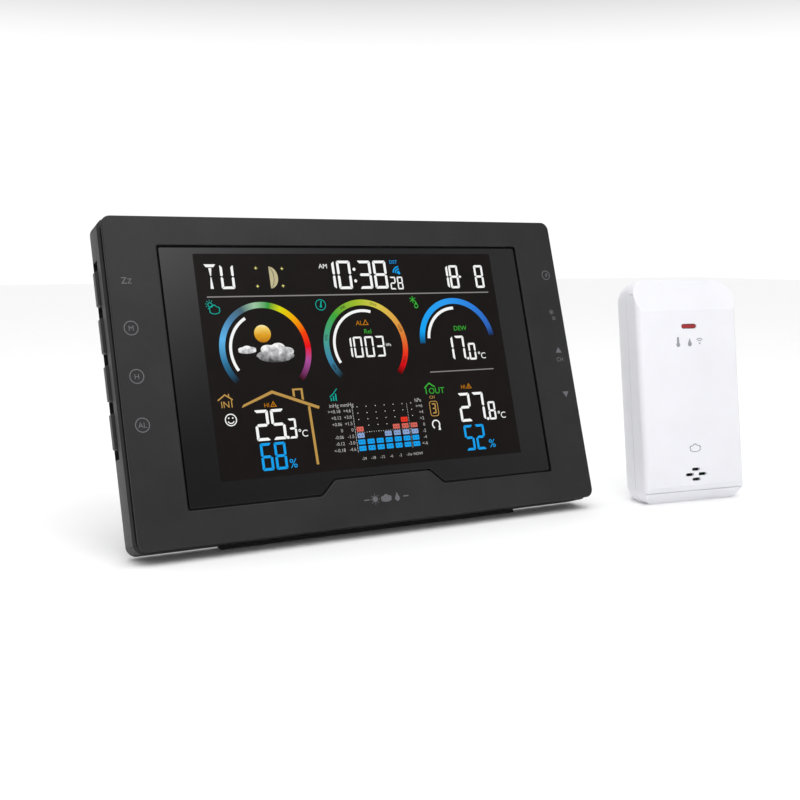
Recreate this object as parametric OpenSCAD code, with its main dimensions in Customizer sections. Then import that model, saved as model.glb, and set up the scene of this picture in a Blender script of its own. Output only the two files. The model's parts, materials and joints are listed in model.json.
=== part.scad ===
// Home weather station: a leaning desk console with a colour display, and its wireless outdoor sensor.
// Millimetres, +Z up. The origin is the middle of the console's long rubber foot, on the table.
// Console pieces are drawn in the console's own frame, which console_place() leans back:
// x to the right, y into the case from the front plate's face, z up the plate from its lower edge.
// Sensor pieces are drawn the same way in the sensor's frame, which sensor_place() leans and turns.

/* [Console case] */
// Width of the front plate
plate_w = 228; // [205:1:280]
// Height of the front plate
plate_h = 140; // [132:1:175]
// Thickness of the front plate
plate_t = 2.6; // [2.2:0.1:3.2]
// Corner radius of the front plate
plate_r = 4; // [2:0.5:6]
// How far the rear case stands out past the front plate all round
rim = 0.5; // [0.3:0.1:1.5]
// Dark gap between the front plate and the rear case
groove = 2.2; // [1.2:0.1:3]
// Depth from the front plate's face to the flat part of the back
case_d = 18.5; // [18.5:0.5:25]
// How far the block across the top of the back stands out
block_d = 5; // [4.5:0.5:9]
// Height of that block
block_h = 50; // [44:1:52]
// Wall of the rear case
wall = 2; // [1.6:0.1:2.4]
// Lean of the console back from upright, in degrees
lean = 17.5; // [14:0.5:24]

/* [Display] */
// Plate left of and right of the window
window_side = 22.3; // [18:0.1:26]
// Plate above the window
window_top = 12.7; // [9:0.1:16]
// Plate below the window
window_bottom = 14.5; // [12:0.1:18]
// Width of the tab that stands up into the window, at its top
tab_w = 48; // [30:1:70]
// Height of that tab
tab_h = 6.5; // [4:0.5:7]
// Gap around the lens
lens_gap = 0.9; // [0.3:0.1:1.2]
// Thickness of the lens
lens_t = 1.6; // [1:0.1:1.6]
// Black border of the lens left and right of the picture
border_side = 15.7; // [12:0.1:20]
// Black border above the picture
border_top = 3.7; // [3.4:0.1:6]
// Black border below the picture
border_bottom = 10.6; // [10:0.1:14]

/* [Keys] */
// Length of each side key
key_l = 16.4; // [10:0.2:18]
// Distance from one side key to the next
key_pitch = 20.25; // [19:0.25:21]
// Distance from the plate's top edge to the middle of the top key
key_top = 28; // [26:0.5:34]
// Travel of a side key
key_travel = 0.6; // [0.3:0.1:0.8]
// How far a side key stands out of the case
key_proud = 1; // [0.8:0.1:1.5]
// Radius of the small keys' caps at the back
button_r = 1.9; // [1.4:0.1:2.4]

/* [Stand] */
// Width of the fold-out stand
stand_w = 66; // [40:1:90]
// Thickness of the stand
stand_t = 4; // [3:0.1:4.4]
// Radius of the stand's steel hinge pin
pin_r = 1.5; // [1:0.1:1.8]
// Running clearance of hinge pins in their barrels
pin_play = 0.05; // [0.02:0.01:0.1]
// Angle between the opened stand and the vertical, in degrees
stand_spread = 14.5; // [10:0.5:20]

/* [Power] */
// Radius of the DC inlet's socket
jack_r = 2.75; // [1.75:0.05:2.75]
// Depth of the DC inlet's socket
jack_l = 8.5; // [6:0.5:9]
// Radius of the round cell door
door_r = 14; // [13:0.5:16]
// Radius of the backup cell
cell_r = 10; // [8:0.5:10]
// Thickness of the backup cell
cell_t = 3.2; // [1.6:0.1:3.2]

/* [Wall hanging] */
// Radius of a keyhole's entry
keyhole_r = 4; // [3.5:0.1:4.5]
// Distance between the console's keyholes
keyhole_gap = 90; // [70:1:110]
// Radius of the screw shank that a keyhole takes
shank_r = 2; // [1.5:0.1:2.2]

/* [Sensor] */
// Width of the sensor
sensor_w = 60; // [56:1:72]
// Height of the sensor
sensor_h = 113; // [111:1:136]
// Depth of the sensor
sensor_d = 24; // [23:0.5:30]
// Wall of the sensor's case
sensor_wall = 1.8; // [1.4:0.1:2]
// Lean of the sensor back from upright, in degrees
sensor_lean = 8; // [6:0.5:10]
// Turn of the sensor about the vertical, in degrees
sensor_turn = -7; // [-20:1:10]
// Place of the sensor to the right of the console's middle
sensor_x = 169; // [165:1:230]
// Place of the sensor in front of the console's foot
sensor_y = -29; // [-60:1:20]
// Radius of a penlight cell
aa_r = 7.25; // [5.25:0.25:7.25]
// Length of a penlight cell
aa_l = 50.5; // [44.5:0.5:50.5]
// Radius of the entry of the sensor's keyhole
sensor_hole_r = 3.2; // [2.6:0.1:3.5]
// Width of the prop leg behind the sensor
prop_w = 12; // [8:1:20]

/* [Hidden] */

$fn = 48;
// Small overlap where one solid is joined to or cut from another
eps = 0.01;
// Clearance between pieces that are only laid together
fit = 0.1;
// Clearance between pieces that slide on each other
slide = 0.3;

case_black = "#2c2d2f";
inner_black = "#1d1d1f";
board_green = "#1f5b3a";
steel = "#b9bcc0";
gold = "#c9a552";
case_white = "#f0eff4";

// Console case
case_w = plate_w + 2 * rim;
case_h = plate_h + 2 * rim;
case_r = plate_r + rim;
case_front = plate_t + groove;
edge_round = 2;
mid_z = plate_h / 2;
skirt_w = case_w - 2 * wall - 2 * 0.2;
skirt_h = case_h - 2 * wall - 2 * 0.2;
skirt_t = 1.6;
skirt_end = case_front + 4.2;

// Window, lens and picture
window_w = plate_w - 2 * window_side;
window_h = plate_h - window_top - window_bottom;
tab_slope = 7 / 6.5;
ledge_in = 3;
ledge_y = plate_t + 1.2;
tape_t = 0.3;
lens_y = plate_t - tape_t - lens_t;
view_w = window_w - 2 * border_side;
view_h = window_h - border_top - border_bottom;
view_z = window_bottom + border_bottom + view_h / 2;

// Display stack, from the lens backwards
glass_w = view_w + 13;
glass_h = view_h + 5;
glass_y = ledge_y + fit;
glass_t = 2.4;
diffuser_y = glass_y + glass_t + 0.05;
diffuser_t = 0.35;
guide_y = diffuser_y + diffuser_t + fit;
guide_t = 3;
guide_drop = 3;
frame_wall = 2;
frame_floor = 1.6;
frame_w = glass_w + 0.6 + 2 * frame_wall;
frame_h = glass_h + 0.6 + 2 * frame_wall;
frame_floor_y = guide_y + guide_t + fit;
frame_back = frame_floor_y + frame_floor;
ear_x = frame_w / 2 + 4;
ear_t = 2;
ear_y = ledge_y + 3.2;
ear_dz = 40;
ribbon_w = 60;
ribbon_t = 0.3;

// Main board
board_w = 160;
board_h = 84;
board_t = 1.4;
board_y = frame_back + 1.2;
board_back = board_y + board_t;
board_z = plate_h - 66;
post_dx = board_w / 2 - 5;
post_dz = board_h / 2 - 5;

// Block across the top of the back
block_w = plate_w - 58;
block_top = plate_h - 15;
block_z = block_top - block_h / 2;
block_face = case_d + block_d;
block_in = block_face - wall;

// Keys
slot_l = 3 * key_pitch + key_l + 7;
slot_z = plate_h - key_top - 1.5 * key_pitch;
slot_y1 = case_d - 8;
slot_y2 = case_d - edge_round;
key_y1 = slot_y1 + 0.9;
key_y2 = slot_y2 - 0.4;
flange_t = 0.8;
key_in = case_w / 2 - wall - 0.2;
nub_end = key_in - flange_t - 1.1;
plunger_end = nub_end - key_travel - fit;
switch_face = plunger_end - 0.6;
switch_back = switch_face - 1.9;
key_board_t = 1.2;

// Case screws
screw_x = case_w / 2 - 11;
screw_z = [11, plate_h - 10];
boss_r = 3.6;
screw_r = 1.3;
boss_split = case_d - 6;

// Foot, and the console's place over it
foot_y1 = case_d - 5;
foot_y2 = case_d - 1;
foot_h = 0.5;
foot_w = 150;
console_z = (rim + foot_h) * cos(lean) + foot_y2 * sin(lean);
console_y = console_z * tan(lean) - (foot_y1 + foot_y2) / 2 / cos(lean);

// Stand
barrel_r = pin_r + 1.1;
stand_y = case_d + barrel_r + 0.5;
stand_z = block_top - block_h - barrel_r - 4.4;
pad_t = 0.8;
stand_foot_r = stand_t / 2 + pad_t;
stand_drop = console_z + stand_z * cos(lean) - stand_y * sin(lean) - stand_foot_r;
stand_l = stand_drop / cos(stand_spread);
stand_open = lean + stand_spread;
ear_w = 4;

// Things on the back block
jack_x = 66;
jack_z = block_top - 33;
jack_nose_r = jack_r + 1.25;
slider_x = -66;
slider_z = block_top - 14;
slider_travel = 4;
button_x = -52;
button_z = block_top - 33;
button_travel = 0.6;
button_hole_r = button_r + 0.2;
door_z = block_top - 25;
door_play = 0.2;
door_seat = 1.4;
door_lug_y = block_face - 4;
cell_y = door_lug_y - 0.4 - cell_t;
// Small parts on the board: room behind it, the buzzer, the indoor sensor and the aerial
back_room = case_d - wall - board_back - 0.2;
buzzer_x = -30;
buzzer_z = block_top - 36;
buzzer_r = 6;
indoor_x = -67;
indoor_z = board_z - 34;
aerial_x = 50;
aerial_z = board_z - 24;
aerial_r = 0.6;
aerial_l = 40;
radio_board_t = 0.8;
keyhole_z = block_top - 15;
keyhole_run = 7;

// Sensor
part_y = 10;
corner_r = 9;
front_round = 6;
ridge_low = 9;
ridge_high = sensor_h - 16;
ridge_x = sensor_w / 2 - front_round;
led_z = ridge_high - 8;
vent_z = ridge_low + 5.4;
sensor_in = sensor_d - sensor_wall;
seal_t = 0.8;
sensor_board_y = 4;
sensor_board_t = 1.2;
bay_w = 4 * aa_r + 1.8;
bay_y = sensor_board_y + sensor_board_t + 2.4;
bay_top = sensor_h - 19.5;
bay_h = aa_l + 1.7;
bay_low = bay_top - bay_h;
strip_h = 6;
strip_top = bay_low - 1.3;
strip_low = strip_top - strip_h;
strip_mid = strip_top - strip_h / 2;
pair_x = 9;
pair_travel = 0.5;
bay_wall = 1.2;
door_w = bay_w + 6;
door_low = strip_low - 1.2;
door_high = bay_top + 1.2;
door_t = 1.5;
door_y = sensor_d - door_t;
cell_x = aa_r + 0.35;
aa_y = bay_y + aa_r + 0.2;
hole_z = sensor_h - 13;
hole_run = 4;
sensor_screw_x = sensor_w / 2 - 9;
sensor_screw_z = [22, sensor_h - 22];
sensor_post_r = 2.4;
sensor_floor = 5;
prop_pin_r = 0.9;
prop_barrel_r = 1.9;
prop_t = 3;
prop_y = sensor_d + prop_barrel_r + 0.3;
prop_z = door_low - prop_barrel_r - 4;
prop_spread = 12;
prop_drop = prop_z * cos(sensor_lean) - prop_y * sin(sensor_lean) - prop_t / 2;
prop_l = prop_drop / cos(prop_spread);
prop_open = sensor_lean + prop_spread;

// ---------- Placing and common shapes ----------

module console_place() {
    translate([0, console_y, console_z])
        rotate([-lean, 0, 0])
            children();
}

module sensor_place() {
    translate([sensor_x, sensor_y, 0])
        rotate([0, 0, sensor_turn])
            rotate([-sensor_lean, 0, 0])
                children();
}

// The stand's own frame: hinge pin along X at its origin, leg down along -Z when folded.
module stand_place() {
    console_place()
        translate([0, stand_y, stand_z])
            rotate([stand_open, 0, 0])
                children();
}

module prop_place() {
    sensor_place()
        translate([0, prop_y, prop_z])
            rotate([prop_open, 0, 0])
                children();
}

module above_table() {
    difference() {
        children();
        translate([-500, -500, -100])
            cube([1000, 1000, 100]);
    }
}

// A flat outline in x and z, given thickness t backwards from depth y.
module slab(y, t) {
    translate([0, y + t, 0])
        rotate([90, 0, 0])
            linear_extrude(t)
                children();
}

module round_rect(w, h, r) {
    square([w - 2 * r, h], center = true);
    square([w, h - 2 * r], center = true);
    for (sx = [-1, 1], sz = [-1, 1])
        translate([sx * (w / 2 - r), sz * (h / 2 - r)])
            circle(r);
}

module panel(w, h, r, z) {
    translate([0, z])
        round_rect(w, h, r);
}

module stadium(l, w) {
    square([l - w, w], center = true);
    for (s = [-1, 1])
        translate([s * (l - w) / 2, 0])
            circle(w / 2);
}

// A pin or hole along the depth axis, from depth y1 to y2.
module rod(r, x, z, y1, y2) {
    translate([x, y2, z])
        rotate([90, 0, 0])
            cylinder(r = r, h = y2 - y1);
}

module pan_screw(x, z, head_y, head_r, head_t, shaft_r, shaft_l) {
    difference() {
        union() {
            rod(head_r, x, z, head_y, head_y + head_t);
            rod(shaft_r, x, z, head_y - shaft_l, head_y + eps);
        }
        for (a = [0, 90])
            translate([x, head_y + head_t, z])
                rotate([0, a, 0])
                    cube([head_r * 1.3, head_t, head_r * 0.25], center = true);
    }
}

function key_z(index) = plate_h - key_top - index * key_pitch;

// The window's outline drawn in by a margin, with its bottom edge stepped up over the tab.
module window_outline(margin) {
    spread = margin * (sqrt(1 + tab_slope * tab_slope) - tab_slope);
    half = window_w / 2 - margin;
    low = window_bottom + margin;
    top_half = tab_w / 2 + spread;
    low_half = top_half + tab_h * tab_slope;
    polygon([
        [-half, low], [-low_half, low], [-top_half, low + tab_h], [top_half, low + tab_h],
        [low_half, low], [half, low], [half, plate_h - window_top - margin],
        [-half, plate_h - window_top - margin]
    ]);
}

// ---------- Console: front ----------

module bezel_post(x, z, r, y1, y2, pilot_r) {
    difference() {
        rod(r, x, z, y1 - eps, y2);
        rod(pilot_r, x, z, plate_t + 0.8, y2 + 1);
    }
}

module key_board_guide(side, z, h) {
    x1 = switch_back - key_board_t - 1.5;
    translate([side > 0 ? x1 : -x1 - 5, plate_t - eps, z])
        cube([5, slot_y2 - 3 - plate_t, h]);
}

module front_bezel() {
    color(case_black)
    console_place()
    difference() {
        union() {
            slab(0, plate_t)
                difference() {
                    panel(plate_w, plate_h, plate_r, mid_z);
                    window_outline(0);
                }
            slab(plate_t, ledge_y - plate_t)
                difference() {
                    panel(window_w + 8, window_h + 8, 2, window_bottom + window_h / 2);
                    window_outline(ledge_in);
                }
            slab(plate_t - eps, skirt_end - plate_t + eps)
                difference() {
                    panel(skirt_w, skirt_h, case_r - wall, mid_z);
                    panel(skirt_w - 2 * skirt_t, skirt_h - 2 * skirt_t, case_r - wall - 1.2, mid_z);
                }
            for (sx = [-1, 1], z = screw_z)
                bezel_post(sx * screw_x, z, boss_r, plate_t, boss_split, screw_r);
            for (sx = [-1, 1], sz = [-1, 1])
                bezel_post(sx * ear_x, view_z + sz * ear_dz, 2.6, ledge_y, ear_y, 1);
            for (side = [-1, 1]) {
                key_board_guide(side, slot_z + slot_l / 2 - 1, 3);
                key_board_guide(side, slot_z - slot_l / 2 - 2, 3);
            }
        }
        for (side = [-1, 1])
            key_board(side, fit);
    }
}

module display_lens() {
    color(inner_black)
    console_place()
    slab(lens_y, lens_t)
        window_outline(lens_gap);
}

module lens_tape() {
    color("black")
    console_place()
    slab(lens_y + lens_t, tape_t)
        difference() {
            window_outline(lens_gap + 0.2);
            window_outline(ledge_in);
        }
}

// ---------- Console: display stack ----------

module lcd_panel() {
    color("#161314")
    console_place()
    slab(glass_y, glass_t)
        panel(glass_w, glass_h, 0.5, view_z);
}

module diffuser_sheet() {
    color("white")
    console_place()
    slab(diffuser_y, diffuser_t)
        panel(glass_w - 2, glass_h - 2, 0.5, view_z);
}

module light_guide() {
    color("#e8eef2")
    console_place()
    slab(guide_y, guide_t)
        panel(glass_w - 1, glass_h - guide_drop, 0.5, view_z - guide_drop / 2);
}

module led_strip() {
    strip_z = view_z + glass_h / 2 - 0.2;
    color("white")
    console_place()
    difference() {
        translate([-glass_w / 2 + 2, guide_y, strip_z - 2.4])
            cube([glass_w - 4, guide_t, 2.4]);
        for (i = [-5.5 : 5.5])
            translate([i * glass_w / 12 - glass_w / 24 + 1, guide_y - 1, strip_z - 3.4])
                cube([glass_w / 12 - 4, guide_t + 2, 2]);
    }
}

module lcd_frame() {
    color("#d9dadc")
    console_place()
    difference() {
        union() {
            slab(ledge_y, frame_back - ledge_y)
                panel(frame_w, frame_h, 1.5, view_z);
            for (sx = [-1, 1], sz = [-1, 1])
                slab(ear_y, ear_t)
                    translate([sx * (frame_w / 2 + 3.2), view_z + sz * ear_dz])
                        round_rect(9, 7, 2);
            for (sx = [-1, 1], sz = [-1, 1])
                rod(2.6, sx * post_dx, board_z + sz * post_dz, frame_back - eps, board_y);
        }
        slab(ledge_y - 1, frame_floor_y - ledge_y + 1)
            panel(glass_w + 0.6, glass_h + 0.6, 0.6, view_z);
        // Way out for the ribbon
        translate([-ribbon_w / 2 - 1, ledge_y - 1, view_z - frame_h / 2 - 1])
            cube([ribbon_w + 2, 3.4, frame_wall + 2]);
        for (sx = [-1, 1], sz = [-1, 1]) {
            rod(1.2, sx * ear_x, view_z + sz * ear_dz, ear_y - 1, ear_y + ear_t + 1);
            rod(1, sx * post_dx, board_z + sz * post_dz, frame_floor_y + 0.4, board_y + 1);
        }
    }
}

module frame_screws() {
    color(steel)
    console_place()
    for (sx = [-1, 1], sz = [-1, 1])
        pan_screw(sx * ear_x, view_z + sz * ear_dz, ear_y + ear_t, 2, 1.4, 1, ear_t + 3);
}

// A flat ribbon folded round the lower edge of the frame, from the glass to the board.
module lcd_ribbon() {
    y1 = glass_y + 0.4;
    y2 = board_back;
    z1 = view_z - glass_h / 2;
    z2 = view_z - frame_h / 2 - 0.7;
    z3 = board_z - board_h / 2 + 5;
    color("#a8762c")
    console_place()
    translate([-ribbon_w / 2, 0, 0])
        rotate([90, 0, 90])
            linear_extrude(ribbon_w)
                polygon([
                    [y1, z1], [y1, z2 - ribbon_t], [y2 + ribbon_t, z2 - ribbon_t], [y2 + ribbon_t, z3],
                    [y2, z3], [y2, z2], [y1 + ribbon_t, z2], [y1 + ribbon_t, z1]
                ]);
}

// ---------- Console: electronics ----------

module main_board() {
    color(board_green)
    console_place()
    difference() {
        slab(board_y, board_t)
            panel(board_w, board_h, 1, board_z);
        for (sx = [-1, 1], sz = [-1, 1])
            rod(1.2, sx * post_dx, board_z + sz * post_dz, board_y - 1, board_back + 1);
    }
}

module board_screws() {
    color(steel)
    console_place()
    for (sx = [-1, 1], sz = [-1, 1])
        pan_screw(sx * post_dx, board_z + sz * post_dz, board_back, 2, 1.2, 1, board_t + 2);
}

module chip_blob() {
    color("black")
    console_place()
    translate([-14, board_back, board_z - 14])
        rotate([-90, 0, 0])
            cylinder(r1 = 7, r2 = 4.5, h = 1.8);
}

module radio_module() {
    color("#2a4a86")
    console_place() {
        translate([30, board_back, board_z - 26])
            cube([18, radio_board_t, 14]);
        translate([33, board_back + radio_board_t - eps, board_z - 23])
            cube([6, back_room - radio_board_t + eps, 6]);
    }
}

// A straight spring-wire aerial, bent over at its foot.
module console_antenna() {
    color(gold)
    console_place() {
        translate([aerial_x, board_back + 2 * aerial_r, aerial_z])
            cylinder(r = aerial_r, h = aerial_l);
        rod(aerial_r, aerial_x, aerial_z, board_back, board_back + 2 * aerial_r);
    }
}

module buzzer() {
    color("black")
    console_place()
    difference() {
        rod(buzzer_r, buzzer_x, buzzer_z, board_back, board_back + 5.5);
        rod(1, buzzer_x, buzzer_z, board_back + 3, board_back + 6);
    }
}

module pressure_sensor() {
    color(steel)
    console_place()
    difference() {
        translate([-60, board_back, board_z - 30])
            cube([3.6, 1.2, 3.8]);
        rod(0.5, -58.2, board_z - 28.1, board_back + 0.8, board_back + 2);
    }
}

module indoor_sensor() {
    color("white")
    console_place()
    translate([indoor_x - 5, board_back, indoor_z - 4])
        cube([10, back_room, 7]);
}

module key_board(side, play) {
    x1 = side > 0 ? switch_back - key_board_t : -switch_back;
    translate([x1 - play, slot_y1 - 5 - play, slot_z - slot_l / 2 - 1])
        cube([key_board_t + 2 * play, slot_y2 - slot_y1 + 4.5 + 2 * play, slot_l + 2]);
}

module key_boards() {
    color(board_green)
    console_place()
    for (side = [-1, 1])
        key_board(side, 0);
}

// Eight side-facing key switches and the one behind the reset button.
module tact_switches() {
    key_y = (key_y1 + key_y2) / 2;
    color(steel)
    console_place() {
        for (side = [-1, 1], i = [0 : 3])
            translate([side * switch_back, key_y, key_z(i)])
                rotate([0, side * 90, 0]) {
                    translate([-2.25, -2.25, 0])
                        cube([4.5, 4.5, switch_face - switch_back]);
                    cylinder(r = 1, h = plunger_end - switch_back);
                }
        translate([button_x - 3, board_back, button_z - 3])
            cube([6, 3.4, 6]);
        rod(1.6, button_x, button_z, board_back + 3, board_back + 4.2);
    }
}

module dc_jack() {
    color("black")
    console_place()
    difference() {
        union() {
            translate([jack_x - 5, board_back, jack_z - 5])
                cube([10, block_in - board_back - 0.2, 10]);
            rod(jack_nose_r, jack_x, jack_z, block_in - 0.3, block_face - 0.3);
        }
        rod(jack_r, jack_x, jack_z, block_face - 0.3 - jack_l, block_face + 1);
    }
}

module coin_holder() {
    color("#e9e4d6")
    console_place()
    difference() {
        rod(cell_r + 1.4, 0, door_z, board_back, cell_y + cell_t - 0.6);
        rod(cell_r + 0.3, 0, door_z, cell_y - 0.5, cell_y + cell_t + 1);
    }
}

module coin_cell() {
    color("#cfd2d6")
    console_place() {
        rod(cell_r, 0, door_z, cell_y + 0.3, cell_y + cell_t);
        rod(cell_r - 1.4, 0, door_z, cell_y, cell_y + 0.3 + eps);
    }
}

module coin_contact() {
    color(gold)
    console_place()
    translate([-2, cell_y - 0.5, door_z - cell_r + 2])
        cube([4, 0.4, 2 * cell_r - 4]);
}

// ---------- Console: back ----------

// Box with a rounded rear edge, as stacked outlines that a hull closes over.
module eased_slab(y1, y2, w, h, r, z, front_ease, rear_ease) {
    hull() {
        slab(y1, y2 - y1 - rear_ease)
            panel(w - 2 * front_ease, h - 2 * front_ease, r, z);
        slab(y1 + front_ease, y2 - y1 - front_ease - rear_ease)
            panel(w, h, r, z);
        for (a = [30, 60])
            slab(y1 + front_ease, y2 - y1 - front_ease - rear_ease * (1 - sin(a)))
                panel(w - 2 * rear_ease * (1 - cos(a)), h - 2 * rear_ease * (1 - cos(a)), r, z);
        slab(y1 + front_ease, y2 - y1 - front_ease)
            panel(w - 2 * rear_ease, h - 2 * rear_ease, r, z);
    }
}

module keyhole(x, z, r, run, y1, y2) {
    rod(r, x, z, y1, y2);
    slab(y1, y2 - y1) {
        translate([x - shank_r, z])
            square([2 * shank_r, run]);
        translate([x, z + run])
            circle(shank_r);
    }
}

module rear_cover() {
    ear_far = stand_w / 2 + slide + ear_w;
    color(case_black)
    console_place()
    difference() {
        union() {
            difference() {
                union() {
                    eased_slab(case_front, case_d, case_w, case_h, case_r, mid_z, 1, edge_round);
                    eased_slab(case_d - 1, block_face, block_w, block_h, 6, block_z, 0, 1.5);
                }
                slab(case_front - 1, case_d - wall - case_front + 1)
                    panel(case_w - 2 * wall, case_h - 2 * wall, case_r - wall, mid_z);
                slab(case_d - wall - 1, block_in - case_d + wall + 1)
                    panel(block_w - 2 * wall, block_h - 2 * wall, 4, block_z);
            }
            for (sx = [-1, 1], z = screw_z)
                rod(boss_r, sx * screw_x, z, boss_split + fit, case_d - 1);
            // Ring under the cell door that its lugs turn behind
            difference() {
                rod(door_r + 2, 0, door_z, block_face - 4.2, block_in + 1);
                rod(door_r - 2.5, 0, door_z, block_face - 5, block_face);
                rod(door_r, 0, door_z, block_face - 5, block_face - 3);
            }
            // Ears that carry the stand's hinge pin
            for (sx = [-1, 1])
                translate([sx * (ear_far - ear_w / 2), 0, 0])
                    hull() {
                        translate([-ear_w / 2, stand_y, stand_z])
                            rotate([0, 90, 0])
                                cylinder(r = barrel_r + 0.6, h = ear_w);
                        translate([-ear_w / 2, case_d - 1, stand_z - 6])
                            cube([ear_w, 1, 12]);
                    }
        }
        // Key slots through both side walls
        for (sx = [-1, 1])
            translate([sx * case_w / 2 - 4, slot_y1, slot_z - slot_l / 2])
                cube([8, slot_y2 - slot_y1, slot_l]);
        // Countersunk ways for the case screws
        for (sx = [-1, 1], z = screw_z) {
            rod(screw_r + 0.1, sx * screw_x, z, boss_split - 1, case_d + 1);
            rod(screw_r + 1.4, sx * screw_x, z, case_d - 4, case_d + 1);
        }
        // Seat of the cell door, the hole under it and the two gaps its lugs drop through
        rod(door_r + door_play, 0, door_z, block_face - door_seat - fit, block_face + 1);
        rod(door_r - 2.5, 0, door_z, block_face - 5, block_face + 1);
        for (sx = [-1, 1])
            slab(block_face - 5, 6)
                translate([sx * (door_r - 2.6), door_z])
                    square([4, 5], center = true);
        rod(jack_nose_r + fit, jack_x, jack_z, block_in - 1, block_face + 1);
        slab(block_in - 1, wall + 2)
            translate([slider_x, slider_z])
                square([slider_travel + 4.4, 4.4], center = true);
        rod(button_hole_r, button_x, button_z, block_in - 1, block_face + 1);
        for (sx = [-1, 1])
            keyhole(sx * keyhole_gap / 2, keyhole_z, keyhole_r, keyhole_run,
                block_in - 1, block_face + 1);
        // Hinge pin
        translate([-ear_far - 1, stand_y, stand_z])
            rotate([0, 90, 0])
                cylinder(r = pin_r, h = 2 * ear_far + 2);
        // Sound holes over the buzzer, and vents over the indoor sensor
        for (i = [-2 : 2])
            slab(block_in - 1, wall + 2)
                translate([buzzer_x + i * 3, buzzer_z])
                    rotate(90)
                        stadium(9, 1.4);
        for (i = [-3 : 3])
            slab(case_d - wall - 1, wall + 2)
                translate([indoor_x + i * 4, indoor_z])
                    rotate(90)
                        stadium(12, 1.6);
    }
}

module case_screws() {
    color(steel)
    console_place()
    for (sx = [-1, 1], z = screw_z)
        pan_screw(sx * screw_x, z, case_d - 4, screw_r + 1.2, 1.6, screw_r, 9);
}

module foot_strip() {
    color("#151515")
    above_table()
        console_place()
            translate([-foot_w / 2, foot_y1, -rim - 12])
                cube([foot_w, foot_y2 - foot_y1, 12]);
}

module coin_door() {
    inner_r = door_r - 2.5 - 0.2;
    color(case_black)
    console_place()
    difference() {
        union() {
            rod(door_r, 0, door_z, block_face - door_seat, block_face - 0.1);
            rod(inner_r, 0, door_z, block_face - 3.4, block_face - door_seat + eps);
            // Lugs, turned a quarter from the gaps they went in by
            for (sz = [-1, 1])
                slab(door_lug_y, 0.8)
                    translate([0, door_z + sz * (inner_r - 1.2)])
                        square([4, 5], center = true);
        }
        translate([0, block_face, door_z])
            cube([2 * door_r - 10, 2.2, 2.2], center = true);
        rod(inner_r - 1.5, 0, door_z, block_face - 5, block_face - 2);
    }
}

module light_switch() {
    color(steel)
    console_place()
    translate([slider_x - 6, board_back, slider_z - 2.6])
        cube([12, block_in - board_back - 1.6, 5.2]);
}

module light_slider() {
    color(inner_black)
    console_place()
    difference() {
        translate([slider_x - slider_travel / 2 - 2, block_in - 1.4, slider_z - 2])
            cube([4, wall + 1, 4]);
        for (i = [-1 : 1])
            translate([slider_x - slider_travel / 2 + i * 1.2, block_face - 0.4, slider_z])
                cube([0.4, 0.8, 5], center = true);
    }
}

module reset_button() {
    color("#6b6e73")
    console_place() {
        rod(button_r, button_x, button_z, block_in - 0.9, block_face - 0.4);
        rod(button_r + 0.9, button_x, button_z, block_in - 1.1, block_in - 0.3);
        rod(1.2, button_x, button_z, board_back + 4.2 + button_travel + fit, block_in - 1);
    }
}

// ---------- Console: stand ----------

module stand() {
    color(case_black)
    stand_place()
    difference() {
        union() {
            translate([-stand_w / 2, 0, 0])
                rotate([0, 90, 0])
                    cylinder(r = barrel_r, h = stand_w);
            translate([-stand_w / 2, -stand_t / 2, -stand_l])
                cube([stand_w, stand_t, stand_l]);
            translate([-stand_w / 2, 0, -stand_l])
                rotate([0, 90, 0])
                    cylinder(r = stand_t / 2, h = stand_w);
        }
        translate([-stand_w / 2 - 1, 0, 0])
            rotate([0, 90, 0])
                cylinder(r = pin_r + pin_play, h = stand_w + 2);
        // Finger opening
        slab(-stand_t, 2 * stand_t)
            translate([0, -stand_l / 2])
                round_rect(stand_w - 26, stand_l - 30, 6);
    }
}

module stand_pin() {
    ear_far = stand_w / 2 + slide + ear_w;
    color(steel)
    console_place()
    translate([-ear_far + 0.2, stand_y, stand_z])
        rotate([0, 90, 0])
            cylinder(r = pin_r, h = 2 * ear_far - 0.4);
}

module stand_pad() {
    color("#151515")
    stand_place()
    difference() {
        translate([-stand_w / 2 + 3, 0, -stand_l])
            rotate([0, 90, 0])
                cylinder(r = stand_foot_r, h = stand_w - 6);
        translate([-stand_w / 2, 0, -stand_l])
            rotate([0, 90, 0])
                cylinder(r = stand_t / 2, h = stand_w);
        translate([-stand_w / 2, -stand_t, -stand_l])
            cube([stand_w, 2 * stand_t, 2 * stand_t]);
    }
}

// ---------- Console: side keys ----------

module side_key(side, index) {
    color(case_black)
    console_place()
    mirror([side < 0 ? 1 : 0, 0, 0])
        translate([0, 0, key_z(index)]) {
            translate([key_in - flange_t / 2, key_y1, -key_l / 2])
                cube([case_w / 2 + key_proud - key_in + flange_t / 2, key_y2 - key_y1, key_l]);
            translate([key_in - flange_t, slot_y1 - 0.9, -key_l / 2 - 0.8])
                cube([flange_t, slot_y2 - slot_y1 + 0.5, key_l + 1.6]);
            translate([nub_end, (key_y1 + key_y2) / 2, 0])
                rotate([0, 90, 0])
                    cylinder(r = 1.3, h = key_in - nub_end);
        }
}

module key_snooze() {
    side_key(-1, 0);
}

module key_mode() {
    side_key(-1, 1);
}

module key_history() {
    side_key(-1, 2);
}

module key_alert() {
    side_key(-1, 3);
}

module key_pressure() {
    side_key(1, 0);
}

module key_index() {
    side_key(1, 1);
}

module key_channel() {
    side_key(1, 2);
}

module key_down() {
    side_key(1, 3);
}

// ---------- Sensor: case ----------

module sensor_panel(inset) {
    panel(sensor_w - 2 * inset, sensor_h - 2 * inset, corner_r - inset * 0.6, sensor_h / 2);
}

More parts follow.
